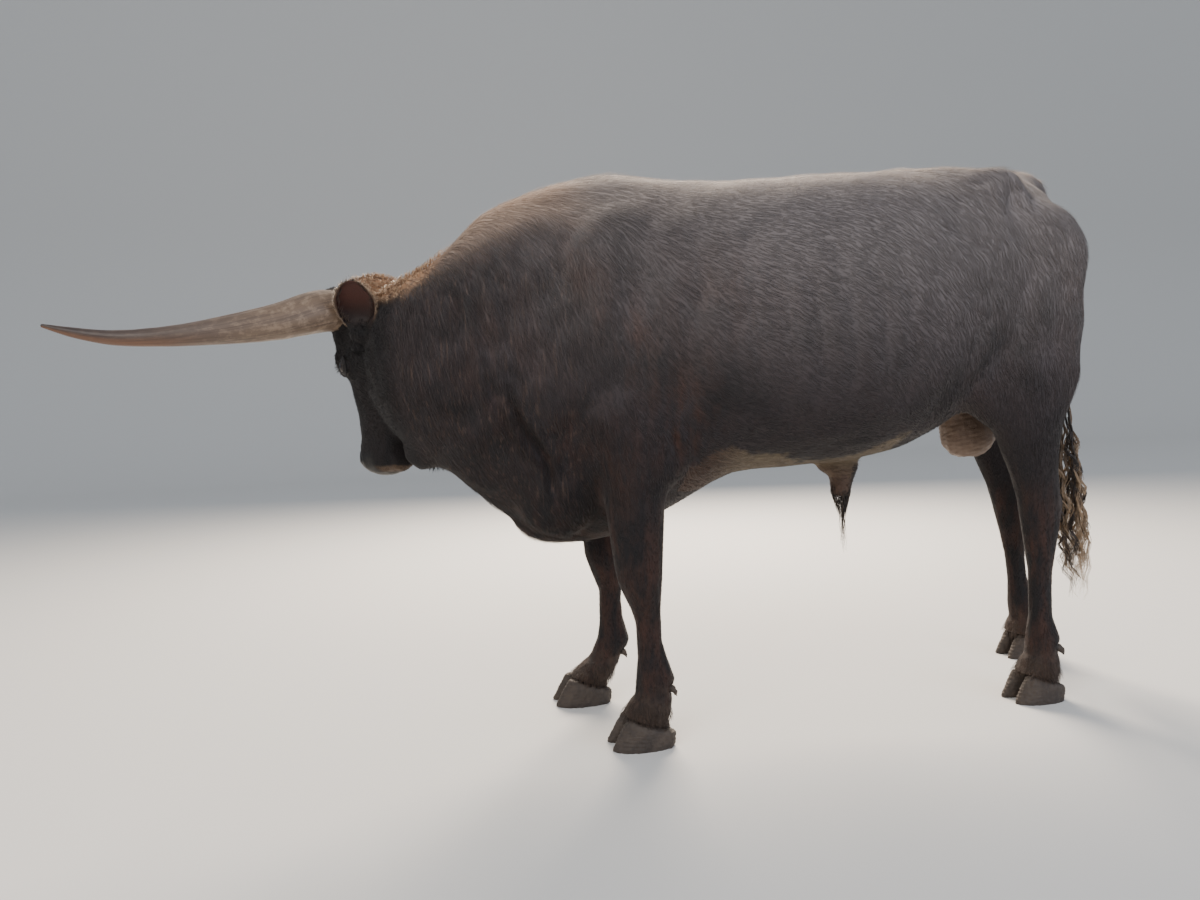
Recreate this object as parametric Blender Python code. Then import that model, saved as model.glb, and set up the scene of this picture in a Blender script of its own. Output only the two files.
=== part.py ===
"""A life-size texas longhorn bull, standing with its head turned to its right.

The animal faces -X, its left side is towards -Y, and it stands on the floor at z = 0. Every length is in
metres. The flesh is blocked out from lofts and muscle forms, fused, thinned and parted into the named parts.
"""

import math
from typing import NamedTuple

import bmesh
import bpy
import numpy as np
from mathutils import Matrix, Vector

# Driving dimensions
WITHERS_HEIGHT = 1.452
GAP = 0.0003
HEAD_ORIGIN = Vector((-0.560, 0.120, 1.160))
HEAD_YAW = math.radians(52)
HEAD_PITCH = math.radians(88)
FACE_LENGTH = 0.470
EYE_AT = Vector((0.186, 0.100, -0.044))
EYE_RADIUS = 0.0200
STANCE_HALF_WIDTH = 0.185
RING_SIDES = 40
LEFT, RIGHT = 1, -1

# Triangle budgets of the thinned flesh
BODY_TRIANGLES = 4000
HEAD_TRIANGLES = 3000

COAT_BROWN = (0.036, 0.020, 0.016)
HORN_TAN = (0.42, 0.29, 0.17)
HOOF_GREY = (0.09, 0.07, 0.055)
SKIN_TAN = (0.30, 0.15, 0.08)
EYE_DARK = (0.012, 0.008, 0.006)
SWITCH_BROWN = (0.05, 0.033, 0.024)


class TrunkRow(NamedTuple):
    """One upright cross-section of the trunk and neck, turned about Z by yaw degrees."""

    x: float
    y: float
    yaw: float
    top: float
    bottom: float
    half_width: float
    widest: float
    upper_power: float
    lower_power: float


class HeadRow(NamedTuple):
    """One cross-section of the head, square to the face: along is measured down the face from the poll."""

    along: float
    front: float
    back: float
    half_width: float
    widest: float
    front_power: float
    back_power: float


class LimbRow(NamedTuple):
    """One level cross-section of a leg."""

    z: float
    x: float
    half_depth: float
    half_width: float
    aside: float = 0.0


TRUNK = [
    TrunkRow(-0.545, 0.085, 50, 1.150, 0.880, 0.060, 1.02, 2.0, 2.0),
    TrunkRow(-0.505, 0.035, 46, 1.162, 0.810, 0.092, 1.02, 2.0, 2.0),
    TrunkRow(-0.445, -0.025, 32, 1.185, 0.735, 0.124, 1.02, 2.0, 1.9),
    TrunkRow(-0.370, -0.050, 14, 1.240, 0.680, 0.158, 1.03, 2.0, 1.8),
    TrunkRow(-0.280, -0.042, -2, 1.335, 0.600, 0.190, 1.02, 2.0, 1.7),
    TrunkRow(-0.175, -0.020, -5, 1.392, 0.520, 0.218, 1.00, 2.0, 1.7),
    TrunkRow(-0.060, -0.004, -1, 1.432, 0.488, 0.246, 0.98, 2.0, 1.7),
    TrunkRow(0.060, 0.000, 0, WITHERS_HEIGHT, 0.500, 0.275, 0.97, 2.0, 1.8),
    TrunkRow(0.200, 0.000, 0, 1.436, 0.565, 0.310, 0.98, 2.1, 2.0),
    TrunkRow(0.350, 0.000, 0, 1.430, 0.640, 0.345, 0.98, 2.2, 2.1),
    TrunkRow(0.520, 0.000, 0, 1.438, 0.655, 0.370, 0.98, 2.3, 2.2),
    TrunkRow(0.700, 0.000, 0, 1.450, 0.662, 0.372, 0.99, 2.3, 2.2),
    TrunkRow(0.860, 0.000, 0, 1.460, 0.692, 0.342, 1.02, 2.3, 2.1),
    TrunkRow(1.000, 0.000, 0, 1.466, 0.755, 0.296, 1.08, 2.3, 2.0),
    TrunkRow(1.120, 0.000, 0, 1.462, 0.830, 0.262, 1.13, 2.2, 2.0),
    TrunkRow(1.250, 0.000, 0, 1.448, 0.860, 0.228, 1.14, 2.0, 2.0),
    TrunkRow(1.320, 0.000, 0, 1.400, 0.900, 0.178, 1.13, 2.0, 2.0),
    TrunkRow(1.362, 0.000, 0, 1.310, 0.980, 0.110, 1.14, 2.0, 2.0),
]

HEAD = [
    HeadRow(-0.030, -0.040, -0.100, 0.045, -0.065, 2.0, 2.0),
    HeadRow(-0.012, -0.018, -0.140, 0.078, -0.060, 2.2, 2.0),
    HeadRow(0.020, -0.004, -0.185, 0.100, -0.055, 2.7, 1.9),
    HeadRow(0.065, 0.003, -0.222, 0.111, -0.050, 3.0, 1.8),
    HeadRow(0.120, 0.004, -0.242, 0.115, -0.048, 3.0, 1.7),
    HeadRow(0.175, 0.002, -0.238, 0.108, -0.052, 2.8, 1.7),
    HeadRow(0.230, 0.000, -0.206, 0.091, -0.058, 2.6, 1.8),
    HeadRow(0.285, -0.001, -0.172, 0.077, -0.062, 2.5, 1.9),
    HeadRow(0.335, -0.003, -0.149, 0.068, -0.066, 2.4, 2.1),
    HeadRow(0.380, -0.006, -0.138, 0.067, -0.066, 2.4, 2.3),
    HeadRow(0.415, -0.010, -0.134, 0.072, -0.064, 2.5, 2.4),
    HeadRow(0.443, -0.018, -0.126, 0.067, -0.064, 2.5, 2.3),
    HeadRow(0.460, -0.034, -0.108, 0.052, -0.066, 2.3, 2.2),
]

# Sections of a foreleg and a hind leg at rest under the body, from the trunk down to the coronet
FORELEG = [
    LimbRow(0.860, 0.055, 0.115, 0.070, 0.020),
    LimbRow(0.760, 0.070, 0.112, 0.078, 0.016),
    LimbRow(0.680, 0.074, 0.096, 0.072, 0.012),
    LimbRow(0.600, 0.066, 0.079, 0.062, 0.008),
    LimbRow(0.520, 0.068, 0.071, 0.054, 0.004),
    LimbRow(0.460, 0.070, 0.066, 0.052, 0.002),
    LimbRow(0.410, 0.072, 0.060, 0.055),
    LimbRow(0.370, 0.079, 0.050, 0.047),
    LimbRow(0.325, 0.087, 0.039, 0.035),
    LimbRow(0.250, 0.092, 0.037, 0.032),
    LimbRow(0.200, 0.098, 0.044, 0.039),
    LimbRow(0.165, 0.102, 0.052, 0.049),
    LimbRow(0.130, 0.097, 0.050, 0.047),
    LimbRow(0.100, 0.086, 0.050, 0.050),
    LimbRow(0.070, 0.074, 0.060, 0.061),
    LimbRow(0.020, 0.066, 0.064, 0.064),
]
HINDLEG = [
    LimbRow(0.980, 1.180, 0.140, 0.070, 0.000),
    LimbRow(0.880, 1.162, 0.152, 0.086, 0.004),
    LimbRow(0.790, 1.150, 0.128, 0.080, 0.006),
    LimbRow(0.700, 1.158, 0.094, 0.064, 0.006),
    LimbRow(0.620, 1.172, 0.073, 0.050, 0.004),
    LimbRow(0.550, 1.186, 0.064, 0.043, 0.002),
    LimbRow(0.490, 1.192, 0.059, 0.043),
    LimbRow(0.430, 1.192, 0.050, 0.040),
    LimbRow(0.370, 1.190, 0.040, 0.033),
    LimbRow(0.290, 1.188, 0.035, 0.028),
    LimbRow(0.210, 1.189, 0.039, 0.033),
    LimbRow(0.165, 1.194, 0.049, 0.045),
    LimbRow(0.130, 1.190, 0.047, 0.044),
    LimbRow(0.100, 1.182, 0.047, 0.047),
    LimbRow(0.070, 1.174, 0.056, 0.058),
    LimbRow(0.020, 1.168, 0.060, 0.060),
]

# How far each foot is set forwards (-) or backwards (+) of the rest stance, with the height where the shift starts
FOOT_SHIFT = {
    ("fore", LEFT): 0.000,
    ("fore", RIGHT): -0.085,
    ("hind", LEFT): 0.000,
    ("hind", RIGHT): 0.125,
}
HINDLEG_SET = {LEFT: 0.0, RIGHT: 0.115}
# Outline in X and Z of what belongs to a leg, and where it starts across
LEG_OUTLINE = {
    "fore": (
        (-0.350, -0.10), (-0.350, 0.440), (-0.045, 0.480), (-0.020, 0.620),
        (0.185, 0.640), (0.260, 0.480), (0.400, -0.10),
    ),
    "hind": ((0.850, -0.10), (0.910, 0.600), (0.985, 0.790), (1.800, 0.790), (1.800, -0.10)),
}
LEG_INNER = {"fore": 0.112, "hind": 0.030}
SHIFT_FROM = {"fore": 0.62, "hind": 0.95}
PASTERN_SHARE = {"fore": 0.55, "hind": 0.10}

# Claw: how far the sole reaches before and behind the middle of the foot, its width, the coronet and the cleft
CLAW_TOE = {"fore": 0.092, "hind": 0.086}
CLAW_HEEL = {"fore": 0.074, "hind": 0.064}
CLAW_WIDTH = {"fore": 0.064, "hind": 0.058}
CORONET_MIDDLE = 0.062
CORONET_SLOPE = math.radians(19)
CLEFT = 0.012
SPLAY = math.radians(6)
CLAW_RINGS = (
    (0.000, 0.970, 0.95),
    (0.004, 1.000, 0.98),
    (0.045, 0.740, 1.00),
    (0.095, 0.450, 0.84),
)
DEWCLAW_HEIGHT = 0.136

# Centre line of the left horn in head coordinates, with its radius
HORN = [
    ((0.045, 0.092, -0.040), 0.050),
    ((0.049, 0.150, -0.032), 0.0520),
    ((0.080, 0.270, -0.012), 0.0430),
    ((0.103, 0.390, 0.028), 0.0325),
    ((0.119, 0.515, 0.085), 0.0215),
    ((0.120, 0.600, 0.132), 0.0160),
    ((0.106, 0.672, 0.174), 0.0095),
    ((0.095, 0.710, 0.194), 0.0040),
]

# Root, axis and opening of each ear in head coordinates: the left is pricked back, the right out to the side
EARS = {
    LEFT: (Vector((0.118, 0.100, -0.108)), Vector((-0.880, 0.337, -0.300)), Vector((0.380, 0.642, -0.591))),
    RIGHT: (Vector((0.128, -0.100, -0.090)), Vector((-0.150, -0.960, -0.150)), Vector((0.300, -0.100, 0.950))),
}

TAIL = [
    ((1.255, 0.000, 1.422), 0.044),
    ((1.318, 0.000, 1.396), 0.041),
    ((1.362, 0.000, 1.320), 0.036),
    ((1.384, 0.000, 1.200), 0.031),
    ((1.388, -0.004, 1.040), 0.027),
    ((1.390, -0.010, 0.900), 0.024),
    ((1.397, -0.016, 0.790), 0.021),
]
SWITCH_CORE = [
    ((1.397, -0.016, 0.790), 0.0225),
    ((1.403, -0.020, 0.700), 0.030),
    ((1.408, -0.024, 0.600), 0.028),
    ((1.416, -0.026, 0.520), 0.016),
]
SWITCH_TIP_HEIGHT = 0.245
SWITCH_LOCKS = 17


def clear_scene():
    for old in list(bpy.data.objects):
        bpy.data.objects.remove(old)


def material(name, colour, roughness, metallic=0.0):
    """A Principled material, made once."""
    made = bpy.data.materials.get(name) or bpy.data.materials.new(name)
    made.use_nodes = True
    shader = made.node_tree.nodes["Principled BSDF"]
    shader.inputs["Base Color"].default_value = (*colour, 1.0)
    shader.inputs["Roughness"].default_value = roughness
    shader.inputs["Metallic"].default_value = metallic
    made.diffuse_color = (*colour, 1.0)
    return made


def new_object(name, bm):
    """A linked object of triangles from a bmesh, which is freed."""
    bmesh.ops.recalc_face_normals(bm, faces=bm.faces)
    bmesh.ops.triangulate(bm, faces=bm.faces)
    mesh = bpy.data.meshes.new(name)
    bm.to_mesh(mesh)
    bm.free()
    obj = bpy.data.objects.new(name, mesh)
    bpy.context.scene.collection.objects.link(obj)
    return obj


def settle(obj):
    """Applies the object's modifiers."""
    graph = bpy.context.evaluated_depsgraph_get()
    mesh = bpy.data.meshes.new_from_object(obj.evaluated_get(graph))
    obj.modifiers.clear()
    old, obj.data = obj.data, mesh
    bpy.data.meshes.remove(old)
    return obj


def smooth_rows(rows, between=4, leading=2):
    """The rows with smoothly interpolated ones between them, spaced by the distance in their leading values."""
    rows = np.array(rows, float)
    steps = np.linalg.norm(np.diff(rows[:, :leading], axis=0), axis=1)
    key = np.concatenate([[0.0], np.cumsum(steps)])
    slopes = np.gradient(rows, key, axis=0)
    made = []
    for i in range(len(rows) - 1):
        step = key[i + 1] - key[i]
        for t in np.arange(between) / between:
            h00, h10 = 2 * t**3 - 3 * t**2 + 1, t**3 - 2 * t**2 + t
            h01, h11 = -2 * t**3 + 3 * t**2, t**3 - t**2
            made.append(
                h00 * rows[i] + h10 * step * slopes[i] + h01 * rows[i + 1] + h11 * step * slopes[i + 1]
            )
    made.append(rows[-1])
    return made


def power(value, exponent):
    return math.copysign(abs(value) ** exponent, value)


def loft(name, rings):
    """A closed skin through rings of points, all with the same count, capped at both ends."""
    bm = bmesh.new()
    loops = [[bm.verts.new(point) for point in ring] for ring in rings]
    count = len(loops[0])
    for low, high in zip(loops, loops[1:]):
        for i in range(count):
            j = (i + 1) % count
            bm.faces.new((low[i], low[j], high[j], high[i]))
    bm.faces.new(loops[0][::-1])
    bm.faces.new(loops[-1])
    return new_object(name, bm)


def egg(row_sizes, sides=RING_SIDES):
    """Points (across, up) of an egg-shaped section: (up to top, up to bottom, half width, two powers)."""
    rise, fall, half_width, upper, lower = row_sizes
    points = []
    for i in range(sides):
        angle = 2 * math.pi * i / sides
        c, s = math.cos(angle), math.sin(angle)
        n = upper if s >= 0 else lower
        reach = rise if s >= 0 else fall
        points.append((half_width * power(c, 2 / n), reach * power(s, 2 / n)))
    return points


def blob(name, centre, radii, turn=None, to_world=None, fineness=3):
    """An ellipsoid, turned by (degrees, axis), in the world or in a frame given by to_world."""
    bm = bmesh.new()
    bmesh.ops.create_icosphere(bm, subdivisions=fineness, radius=1.0)
    matrix = Matrix.Diagonal((*radii, 1.0))
    if turn:
        matrix = Matrix.Rotation(math.radians(turn[0]), 4, turn[1]) @ matrix
    matrix = Matrix.Translation(centre) @ matrix
    if to_world:
        matrix = to_world @ matrix
    bmesh.ops.transform(bm, matrix=matrix, verts=bm.verts)
    return new_object(name, bm)


def path_frames(points):
    """Tangent and two cross directions at each point, carried along without twist."""
    points = [Vector(p) for p in points]
    frames = []
    side = None
    for i, point in enumerate(points):
        ahead = points[min(i + 1, len(points) - 1)] - points[max(i - 1, 0)]
        tangent = ahead.normalized()
        if side is None:
            side = tangent.orthogonal().normalized()
        side = (side - tangent * side.dot(tangent)).normalized()
        frames.append((point, tangent, side, tangent.cross(side)))
    return frames


def tube(name, points, radii, sides=16, between=3, rounded=True):
    """A round tapering tube along a smooth path, with domed ends where rounded."""
    rows = smooth_rows([(*p, r) for p, r in zip(points, radii)], between, 3)
    frames = path_frames([row[:3] for row in rows])
    rings = []
    stations = [(f, row[3], 0.0) for f, row in zip(frames, rows)]
    if rounded:
        dome = [(0.92, 0.38), (0.55, 0.82)]
        first, last = stations[0], stations[-1]
        stations = [(first[0], first[1] * s, -first[1] * o) for s, o in reversed(dome)] + stations
        stations += [(last[0], last[1] * s, last[1] * o) for s, o in dome]
    for (point, tangent, side, up), radius, offset in stations:
        centre = point + tangent * offset
        rings.append([
            centre + (side * math.cos(a) + up * math.sin(a)) * radius
            for a in (2 * math.pi * k / sides for k in range(sides))
        ])
    return loft(name, rings)


def fuse(name, pieces, voxel, rounds, factor=0.5):
    """Joins overlapping closed pieces into one even skin and softens the creases."""
    bm = bmesh.new()
    for piece in pieces:
        bm.from_mesh(piece.data)
    obj = new_object(name, bm)
    remesh = obj.modifiers.new("one skin", "REMESH")
    remesh.mode = "VOXEL"
    remesh.voxel_size = voxel
    soften = obj.modifiers.new("soften", "SMOOTH")
    soften.factor = factor
    soften.iterations = rounds
    settle(obj)
    for piece in pieces:
        bpy.data.objects.remove(piece)
    return keep_largest(obj)


def soften(obj, rounds, where):
    """Smooths the mesh further, as much as where(co) says from 0 to 1."""
    group = obj.vertex_groups.new(name="soft")
    for vertex in obj.data.vertices:
        weight = where(vertex.co)
        if weight > 0:
            group.add([vertex.index], weight, "REPLACE")
    more = obj.modifiers.new("soften", "SMOOTH")
    more.vertex_group = group.name
    more.iterations = rounds
    settle(obj)
    obj.vertex_groups.clear()
    return obj


def copied(obj, name):
    twin = bpy.data.objects.new(name, obj.data.copy())
    bpy.context.scene.collection.objects.link(twin)
    return twin


def thin_out(obj, triangles, detail=None):
    """Reduces the mesh to about that many triangles. detail(co) from 0 to 1 keeps more where it is high."""
    now = sum(len(p.vertices) - 2 for p in obj.data.polygons)
    reduce = obj.modifiers.new("thin out", "DECIMATE")
    reduce.ratio = min(1.0, triangles / now)
    reduce.use_collapse_triangulate = True
    if detail:
        group = obj.vertex_groups.new(name="detail")
        for vertex in obj.data.vertices:
            group.add([vertex.index], 1.0 - detail(vertex.co), "REPLACE")
        reduce.vertex_group = "detail"
        reduce.vertex_group_factor = 1.0
    settle(obj)
    obj.vertex_groups.clear()
    return obj


def boolean(obj, other, operation, solver="MANIFOLD"):
    """Cuts or joins obj with other, applied; other is removed."""
    cut = obj.modifiers.new(operation.lower(), "BOOLEAN")
    cut.operation = operation
    cut.solver = solver
    cut.object = other
    settle(obj)
    bpy.data.objects.remove(other)
    return keep_largest(obj)


def join_all(name, pieces, solver="EXACT"):
    """One Boolean union of closed pieces, of which only the largest closed surface is kept."""
    host = pieces[0]
    host.name = name
    group = bpy.data.collections.new(name + " pieces")
    for piece in pieces[1:]:
        group.objects.link(piece)
    union = host.modifiers.new("union", "BOOLEAN")
    union.operation = "UNION"
    union.operand_type = "COLLECTION"
    union.collection = group
    union.solver = solver
    settle(host)
    for piece in pieces[1:]:
        bpy.data.objects.remove(piece)
    bpy.data.collections.remove(group)
    return keep_largest(host)


def keep_largest(obj):
    """Drops every loose scrap and sealed hollow but the surface with the most faces."""
    bm = bmesh.new()
    bm.from_mesh(obj.data)
    bmesh.ops.remove_doubles(bm, verts=bm.verts, dist=1e-6)
    left = set(bm.faces)
    shells = []
    while left:
        shell, stack = set(), [left.pop()]
        while stack:
            face = stack.pop()
            shell.add(face)
            for edge in face.edges:
                for other in edge.link_faces:
                    if other in left:
                        left.discard(other)
                        stack.append(other)
        shells.append(shell)
    shells.sort(key=lambda shell: sum(face.calc_area() for face in shell))
    scraps = [face for shell in shells[:-1] for face in shell]
    bmesh.ops.delete(bm, geom=scraps, context="FACES")
    bm.to_mesh(obj.data)
    bm.free()
    return obj


def slab(name, point, normal, reach=3.0, shift=0.0):
    """A big box whose one face is the plane through point, reaching along normal."""
    bm = bmesh.new()
    bmesh.ops.create_cube(bm, size=reach)
    turn = Vector(normal).to_track_quat("Z", "Y").to_matrix().to_4x4()
    centre = Vector(point) + Vector(normal).normalized() * (reach / 2 + shift)
    bmesh.ops.transform(bm, matrix=Matrix.Translation(centre) @ turn, verts=bm.verts)
    return new_object(name, bm)


def head_wedge(to_world):
    """The region of the head: a wedge with its edge behind the angle of the jaw, open towards the face."""
    corners = ((0.200, 0.105, -0.258), (1.316, 0.300, 0.186), (1.200, 0.600, 1.200), (-0.724, 0.600, 0.510))
    rings = [[to_world @ Vector((along, across * s, out)) for along, across, out in corners] for s in (-1, 1)]
    return loft("head wedge", rings)


def part_by_plane(body, name, point, normal):
    """Takes the side of body that normal points to off as a new object, with the gap between."""
    taken = boolean(copied(body, name), slab("cutter", point, normal), "INTERSECT")
    boolean(body, slab("cutter", point, normal, shift=-GAP), "DIFFERENCE")
    return taken


def part_by_outline(body, name, outline, low, high):
    """Takes what lies inside an outline in X and Z, between two values of Y, off as a new object."""
    rings = [[Vector((x, y, z)) for x, z in outline] for y in (low, high)]
    region = loft("region", rings)
    around = grown(region, GAP)
    taken = boolean(copied(body, name), region, "INTERSECT")
    boolean(body, around, "DIFFERENCE")
    return taken


def head_matrix():
    """From head coordinates (down the face, to the animal's left, out of the forehead) to the world."""
    flat = Vector((-math.cos(HEAD_YAW), math.sin(HEAD_YAW), 0.0))
    down = flat * math.cos(HEAD_PITCH) + Vector((0, 0, -math.sin(HEAD_PITCH)))
    left = Vector((-math.sin(HEAD_YAW), -math.cos(HEAD_YAW), 0.0))
    out = down.cross(left)
    matrix = Matrix((down, left, out)).transposed().to_4x4()
    return Matrix.Translation(HEAD_ORIGIN) @ matrix


def trunk_form():
    """The trunk and neck as one loft of upright sections."""
    rings = []
    for row in smooth_rows(TRUNK, 5):
        x, y, yaw, top, bottom, half_width, widest, upper, lower = row
        across = Vector((math.sin(math.radians(yaw)), math.cos(math.radians(yaw)), 0.0))
        section = egg((top - widest, widest - bottom, half_width, upper, lower))
        rings.append([Vector((x, y, widest + up)) + across * out for out, up in section])
    return loft("trunk", rings)


def head_form(to_world):
    rings = []
    for row in smooth_rows(HEAD, 4, 1):
        along, front, back, half_width, widest, upper, lower = row
        section = egg((front - widest, widest - back, half_width, upper, lower))
        rings.append([to_world @ Vector((along, out, widest + up)) for out, up in section])
    return loft("head core", rings)


def foot_x(kind, side, z, x):
    """The x of a leg's section, with the foot set forwards or backwards."""
    shift = FOOT_SHIFT[kind, side]
    share = min(1.0, max(0.0, (SHIFT_FROM[kind] - z) / SHIFT_FROM[kind]))
    pastern = PASTERN_SHARE[kind] * min(1.0, max(0.0, (0.17 - z) / 0.12))
    set_back = HINDLEG_SET[side] * min(1.0, max(0.0, (1.0 - z) / 0.28)) if kind == "hind" else 0.0
    return x + set_back + shift * (share * (1 - PASTERN_SHARE[kind]) + pastern)


def leg_form(kind, side):
    rows = FORELEG if kind == "fore" else HINDLEG
    rings = []
    for z, x, half_depth, half_width, aside in smooth_rows(rows, 4):
        y = -side * (STANCE_HALF_WIDTH + aside)
        centre = Vector((foot_x(kind, side, z, x), y, z))
        rings.append([
            centre + Vector((half_depth * math.cos(a), half_width * math.sin(a), 0.0))
            for a in (2 * math.pi * k / RING_SIDES for k in range(RING_SIDES))
        ])
    return loft(f"{kind} leg", rings)


def body_forms(side):
    """Muscle and bone forms of one side of the body."""
    y = -side
    return [
        blob("shoulder", (0.010, 0.178 * y, 1.06), (0.155, 0.100, 0.290), (16, "Y")),
        blob("point of shoulder", (-0.130, 0.165 * y, 0.88), (0.100, 0.082, 0.120)),
        blob("triceps", (0.130, 0.200 * y, 0.85), (0.115, 0.080, 0.165), (-20, "Y")),
        blob("elbow", (0.150, 0.215 * y, 0.705), (0.050, 0.045, 0.065)),
        blob("breast", (-0.110, 0.080 * y, 0.650), (0.125, 0.095, 0.140)),
        blob("hook", (1.060, 0.196 * y, 1.380), (0.095, 0.066, 0.066)),
        blob("thurl", (1.215, 0.205 * y, 1.200), (0.120, 0.075, 0.150)),
        blob("thigh", (1.180, 0.165 * y, 1.030), (0.160, 0.110, 0.240)),
        blob("buttock", (1.282, 0.108 * y, 1.050), (0.096, 0.084, 0.240), (3, "Y")),
        blob("pin", (1.312, 0.100 * y, 1.265), (0.075, 0.062, 0.080)),
        blob("stifle", (1.050 + 0.4 * HINDLEG_SET[side], 0.190 * y, 0.850), (0.085, 0.070, 0.110)),
        blob("hock point", (foot_x("hind", side, 0.53, 1.236), 0.185 * y, 0.530), (0.030, 0.022, 0.042)),
    ]


def body_flesh():
    """The whole of the flesh but the head, fused and thinned."""
    forms = [trunk_form()]
    for side in (LEFT, RIGHT):
        forms += body_forms(side)
        forms += [leg_form(kind, side) for kind in ("fore", "hind")]
    forms += [
        blob("tail head", (1.295, 0.0, 1.428), (0.110, 0.052, 0.056), (14, "Y")),
        blob("throat", (-0.430, -0.020, 0.765), (0.065, 0.055, 0.070)),
        blob("brisket", (-0.080, 0.0, 0.570), (0.150, 0.085, 0.090)),
    ]
    body = fuse("body", forms, 0.010, 10)
    return soften(body, 26, lambda co: min(1.0, max(0.0, (co.z - 0.66) / 0.16)))


def head_flesh(to_world):
    """The head with the front of the neck, fused."""
    forms = [head_form(to_world), trunk_form()]
    for s in (LEFT, RIGHT):
        forms += [
            blob("brow", (0.166, 0.092 * s, -0.022), (0.046, 0.026, 0.024), None, to_world),
            blob("orbit", (0.184, 0.092 * s, -0.048), (0.036, 0.027, 0.034), None, to_world),
            blob("cheek", (0.140, 0.062 * s, -0.150), (0.090, 0.036, 0.076), (-24, "Y"), to_world),
            blob("cheek bone", (0.232, 0.066 * s, -0.078), (0.070, 0.020, 0.016), (-12, "Y"), to_world),
            blob("jaw", (0.225, 0.046 * s, -0.190), (0.120, 0.020, 0.020), (-21, "Y"), to_world),
            blob("temple", (0.104, 0.094 * s, -0.036), (0.052, 0.036, 0.036), None, to_world),
            blob("nostril wing", (0.426, 0.037 * s, -0.036), (0.030, 0.028, 0.026), None, to_world),
            blob("flews", (0.405, 0.045 * s, -0.080), (0.036, 0.024, 0.026), None, to_world),
            tube("horn root", [to_world @ Vector(p) for p in
                 ((0.045, 0.030 * s, -0.045), (0.045, 0.120 * s, -0.035))], (0.066, 0.058)),
            tube("ear root", [to_world @ Vector(p) for p in
                 ((0.110, 0.060 * s, -0.085), EARS[s][0] + EARS[s][1] * 0.012)], (0.036, 0.031)),
        ]
    forms += [
        blob("poll", (-0.010, 0.0, -0.040), (0.036, 0.085, 0.042), None, to_world),
        blob("upper lip", (0.446, 0.0, -0.068), (0.026, 0.062, 0.030), None, to_world),
        blob("chin", (0.428, 0.0, -0.120), (0.034, 0.044, 0.024), None, to_world),
    ]
    return fuse("head flesh", forms, 0.005, 8)


def finish(obj, name, stuff):
    """Names the object and dresses it."""
    obj.name = name
    obj.data.name = name
    obj.data.materials.clear()
    obj.data.materials.append(stuff)
    obj.data.shade_smooth()
    obj.data.set_sharp_from_angle(angle=math.radians(50))
    return obj


def grown(obj, by):
    """A copy of the object with every point moved out along its normal."""
    twin = copied(obj, obj.name + " grown")
    bm = bmesh.new()
    bm.from_mesh(twin.data)
    bm.normal_update()
    moved = [vertex.co + vertex.normal * by * vertex.calc_shell_factor() for vertex in bm.verts]
    for vertex, place in zip(bm.verts, moved):
        vertex.co = place
    bm.to_mesh(twin.data)
    bm.free()
    return twin


def seat(host, guest):
    """Cuts a pocket in host for guest, with the gap all round."""
    return boolean(host, grown(guest, GAP), "DIFFERENCE")


def horn(to_world, s):
    points = [to_world @ Vector((p[0], p[1] * s, p[2])) for p, _ in HORN]
    return tube("horn", points, [radius for _, radius in HORN], 14, 2)


def ear(to_world, s):
    """A cupped ear: a solid root that opens out into a leaf, hollow on the opening side."""
    root, axis, opening = EARS[s]
    axis = axis.normalized()
    opening = (opening - axis * opening.dot(axis)).normalized()
    across = axis.cross(opening)
    rings = []
    #       along, half width, half depth, hollow
    rows = [
        (-0.004, 0.018, 0.018, -0.95),
        (0.010, 0.024, 0.023, -0.90),
        (0.028, 0.028, 0.026, -0.55),
        (0.044, 0.036, 0.028, 0.25),
        (0.064, 0.045, 0.027, 0.66),
        (0.086, 0.050, 0.024, 0.74),
        (0.110, 0.047, 0.019, 0.72),
        (0.132, 0.035, 0.013, 0.62),
        (0.147, 0.021, 0.008, 0.40),
        (0.154, 0.008, 0.005, -0.30),
    ]
    turns = 9
    for along, half_width, half_depth, hollow in rows:
        centre = root + axis * along + opening * 0.10 * along
        ring = []
        for k in range(turns):
            a = math.pi * k / (turns - 1)
            ring.append(centre + across * half_width * math.cos(a) - opening * half_depth * math.sin(a))
        for k in range(1, turns - 1):
            a = math.pi * (1 - k / (turns - 1))
            ring.append(
                centre + across * half_width * 0.88 * math.cos(a) - opening * half_depth * hollow * math.sin(a)
            )
        rings.append([to_world @ point for point in ring])
    return loft("ear", rings)


def eye(to_world, s, grow=0.0):
    bm = bmesh.new()
    bmesh.ops.create_uvsphere(bm, u_segments=14, v_segments=8, radius=EYE_RADIUS + grow)
    centre = to_world @ Vector((EYE_AT.x, EYE_AT.y * s, EYE_AT.z))
    turn = (to_world.to_3x3() @ Vector((0.1, s, 0.25))).to_track_quat("Z", "Y").to_matrix().to_4x4()
    bmesh.ops.transform(bm, matrix=Matrix.Translation(centre) @ turn, verts=bm.verts)
    return new_object("eye", bm)


def carve_face(head, to_world):
    """Lids round each eye, the nostrils and the line of the mouth."""
    for s in (LEFT, RIGHT):
        centre = Vector((EYE_AT.x, EYE_AT.y * s, EYE_AT.z))
        lids = blob("lids", centre, (0.0265, 0.0255, 0.0265), None, to_world, 2)
        boolean(head, lids, "UNION")
        gaze = Vector((0.10, s, 0.25)).normalized()
        slit = blob("slit", centre + gaze * 0.022, (0.0180, 0.020, 0.0105), (-14 * s, "Y"), to_world, 2)
        boolean(head, slit, "DIFFERENCE")
        boolean(head, eye(to_world, s, GAP), "DIFFERENCE")
        nostril = blob(
            "nostril", (0.430, 0.047 * s, -0.022), (0.017, 0.009, 0.024), (-40 * s, "X"), to_world, 2
        )
        boolean(head, nostril, "DIFFERENCE")
    return boolean(head, mouth_cutter(to_world), "DIFFERENCE")


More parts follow.
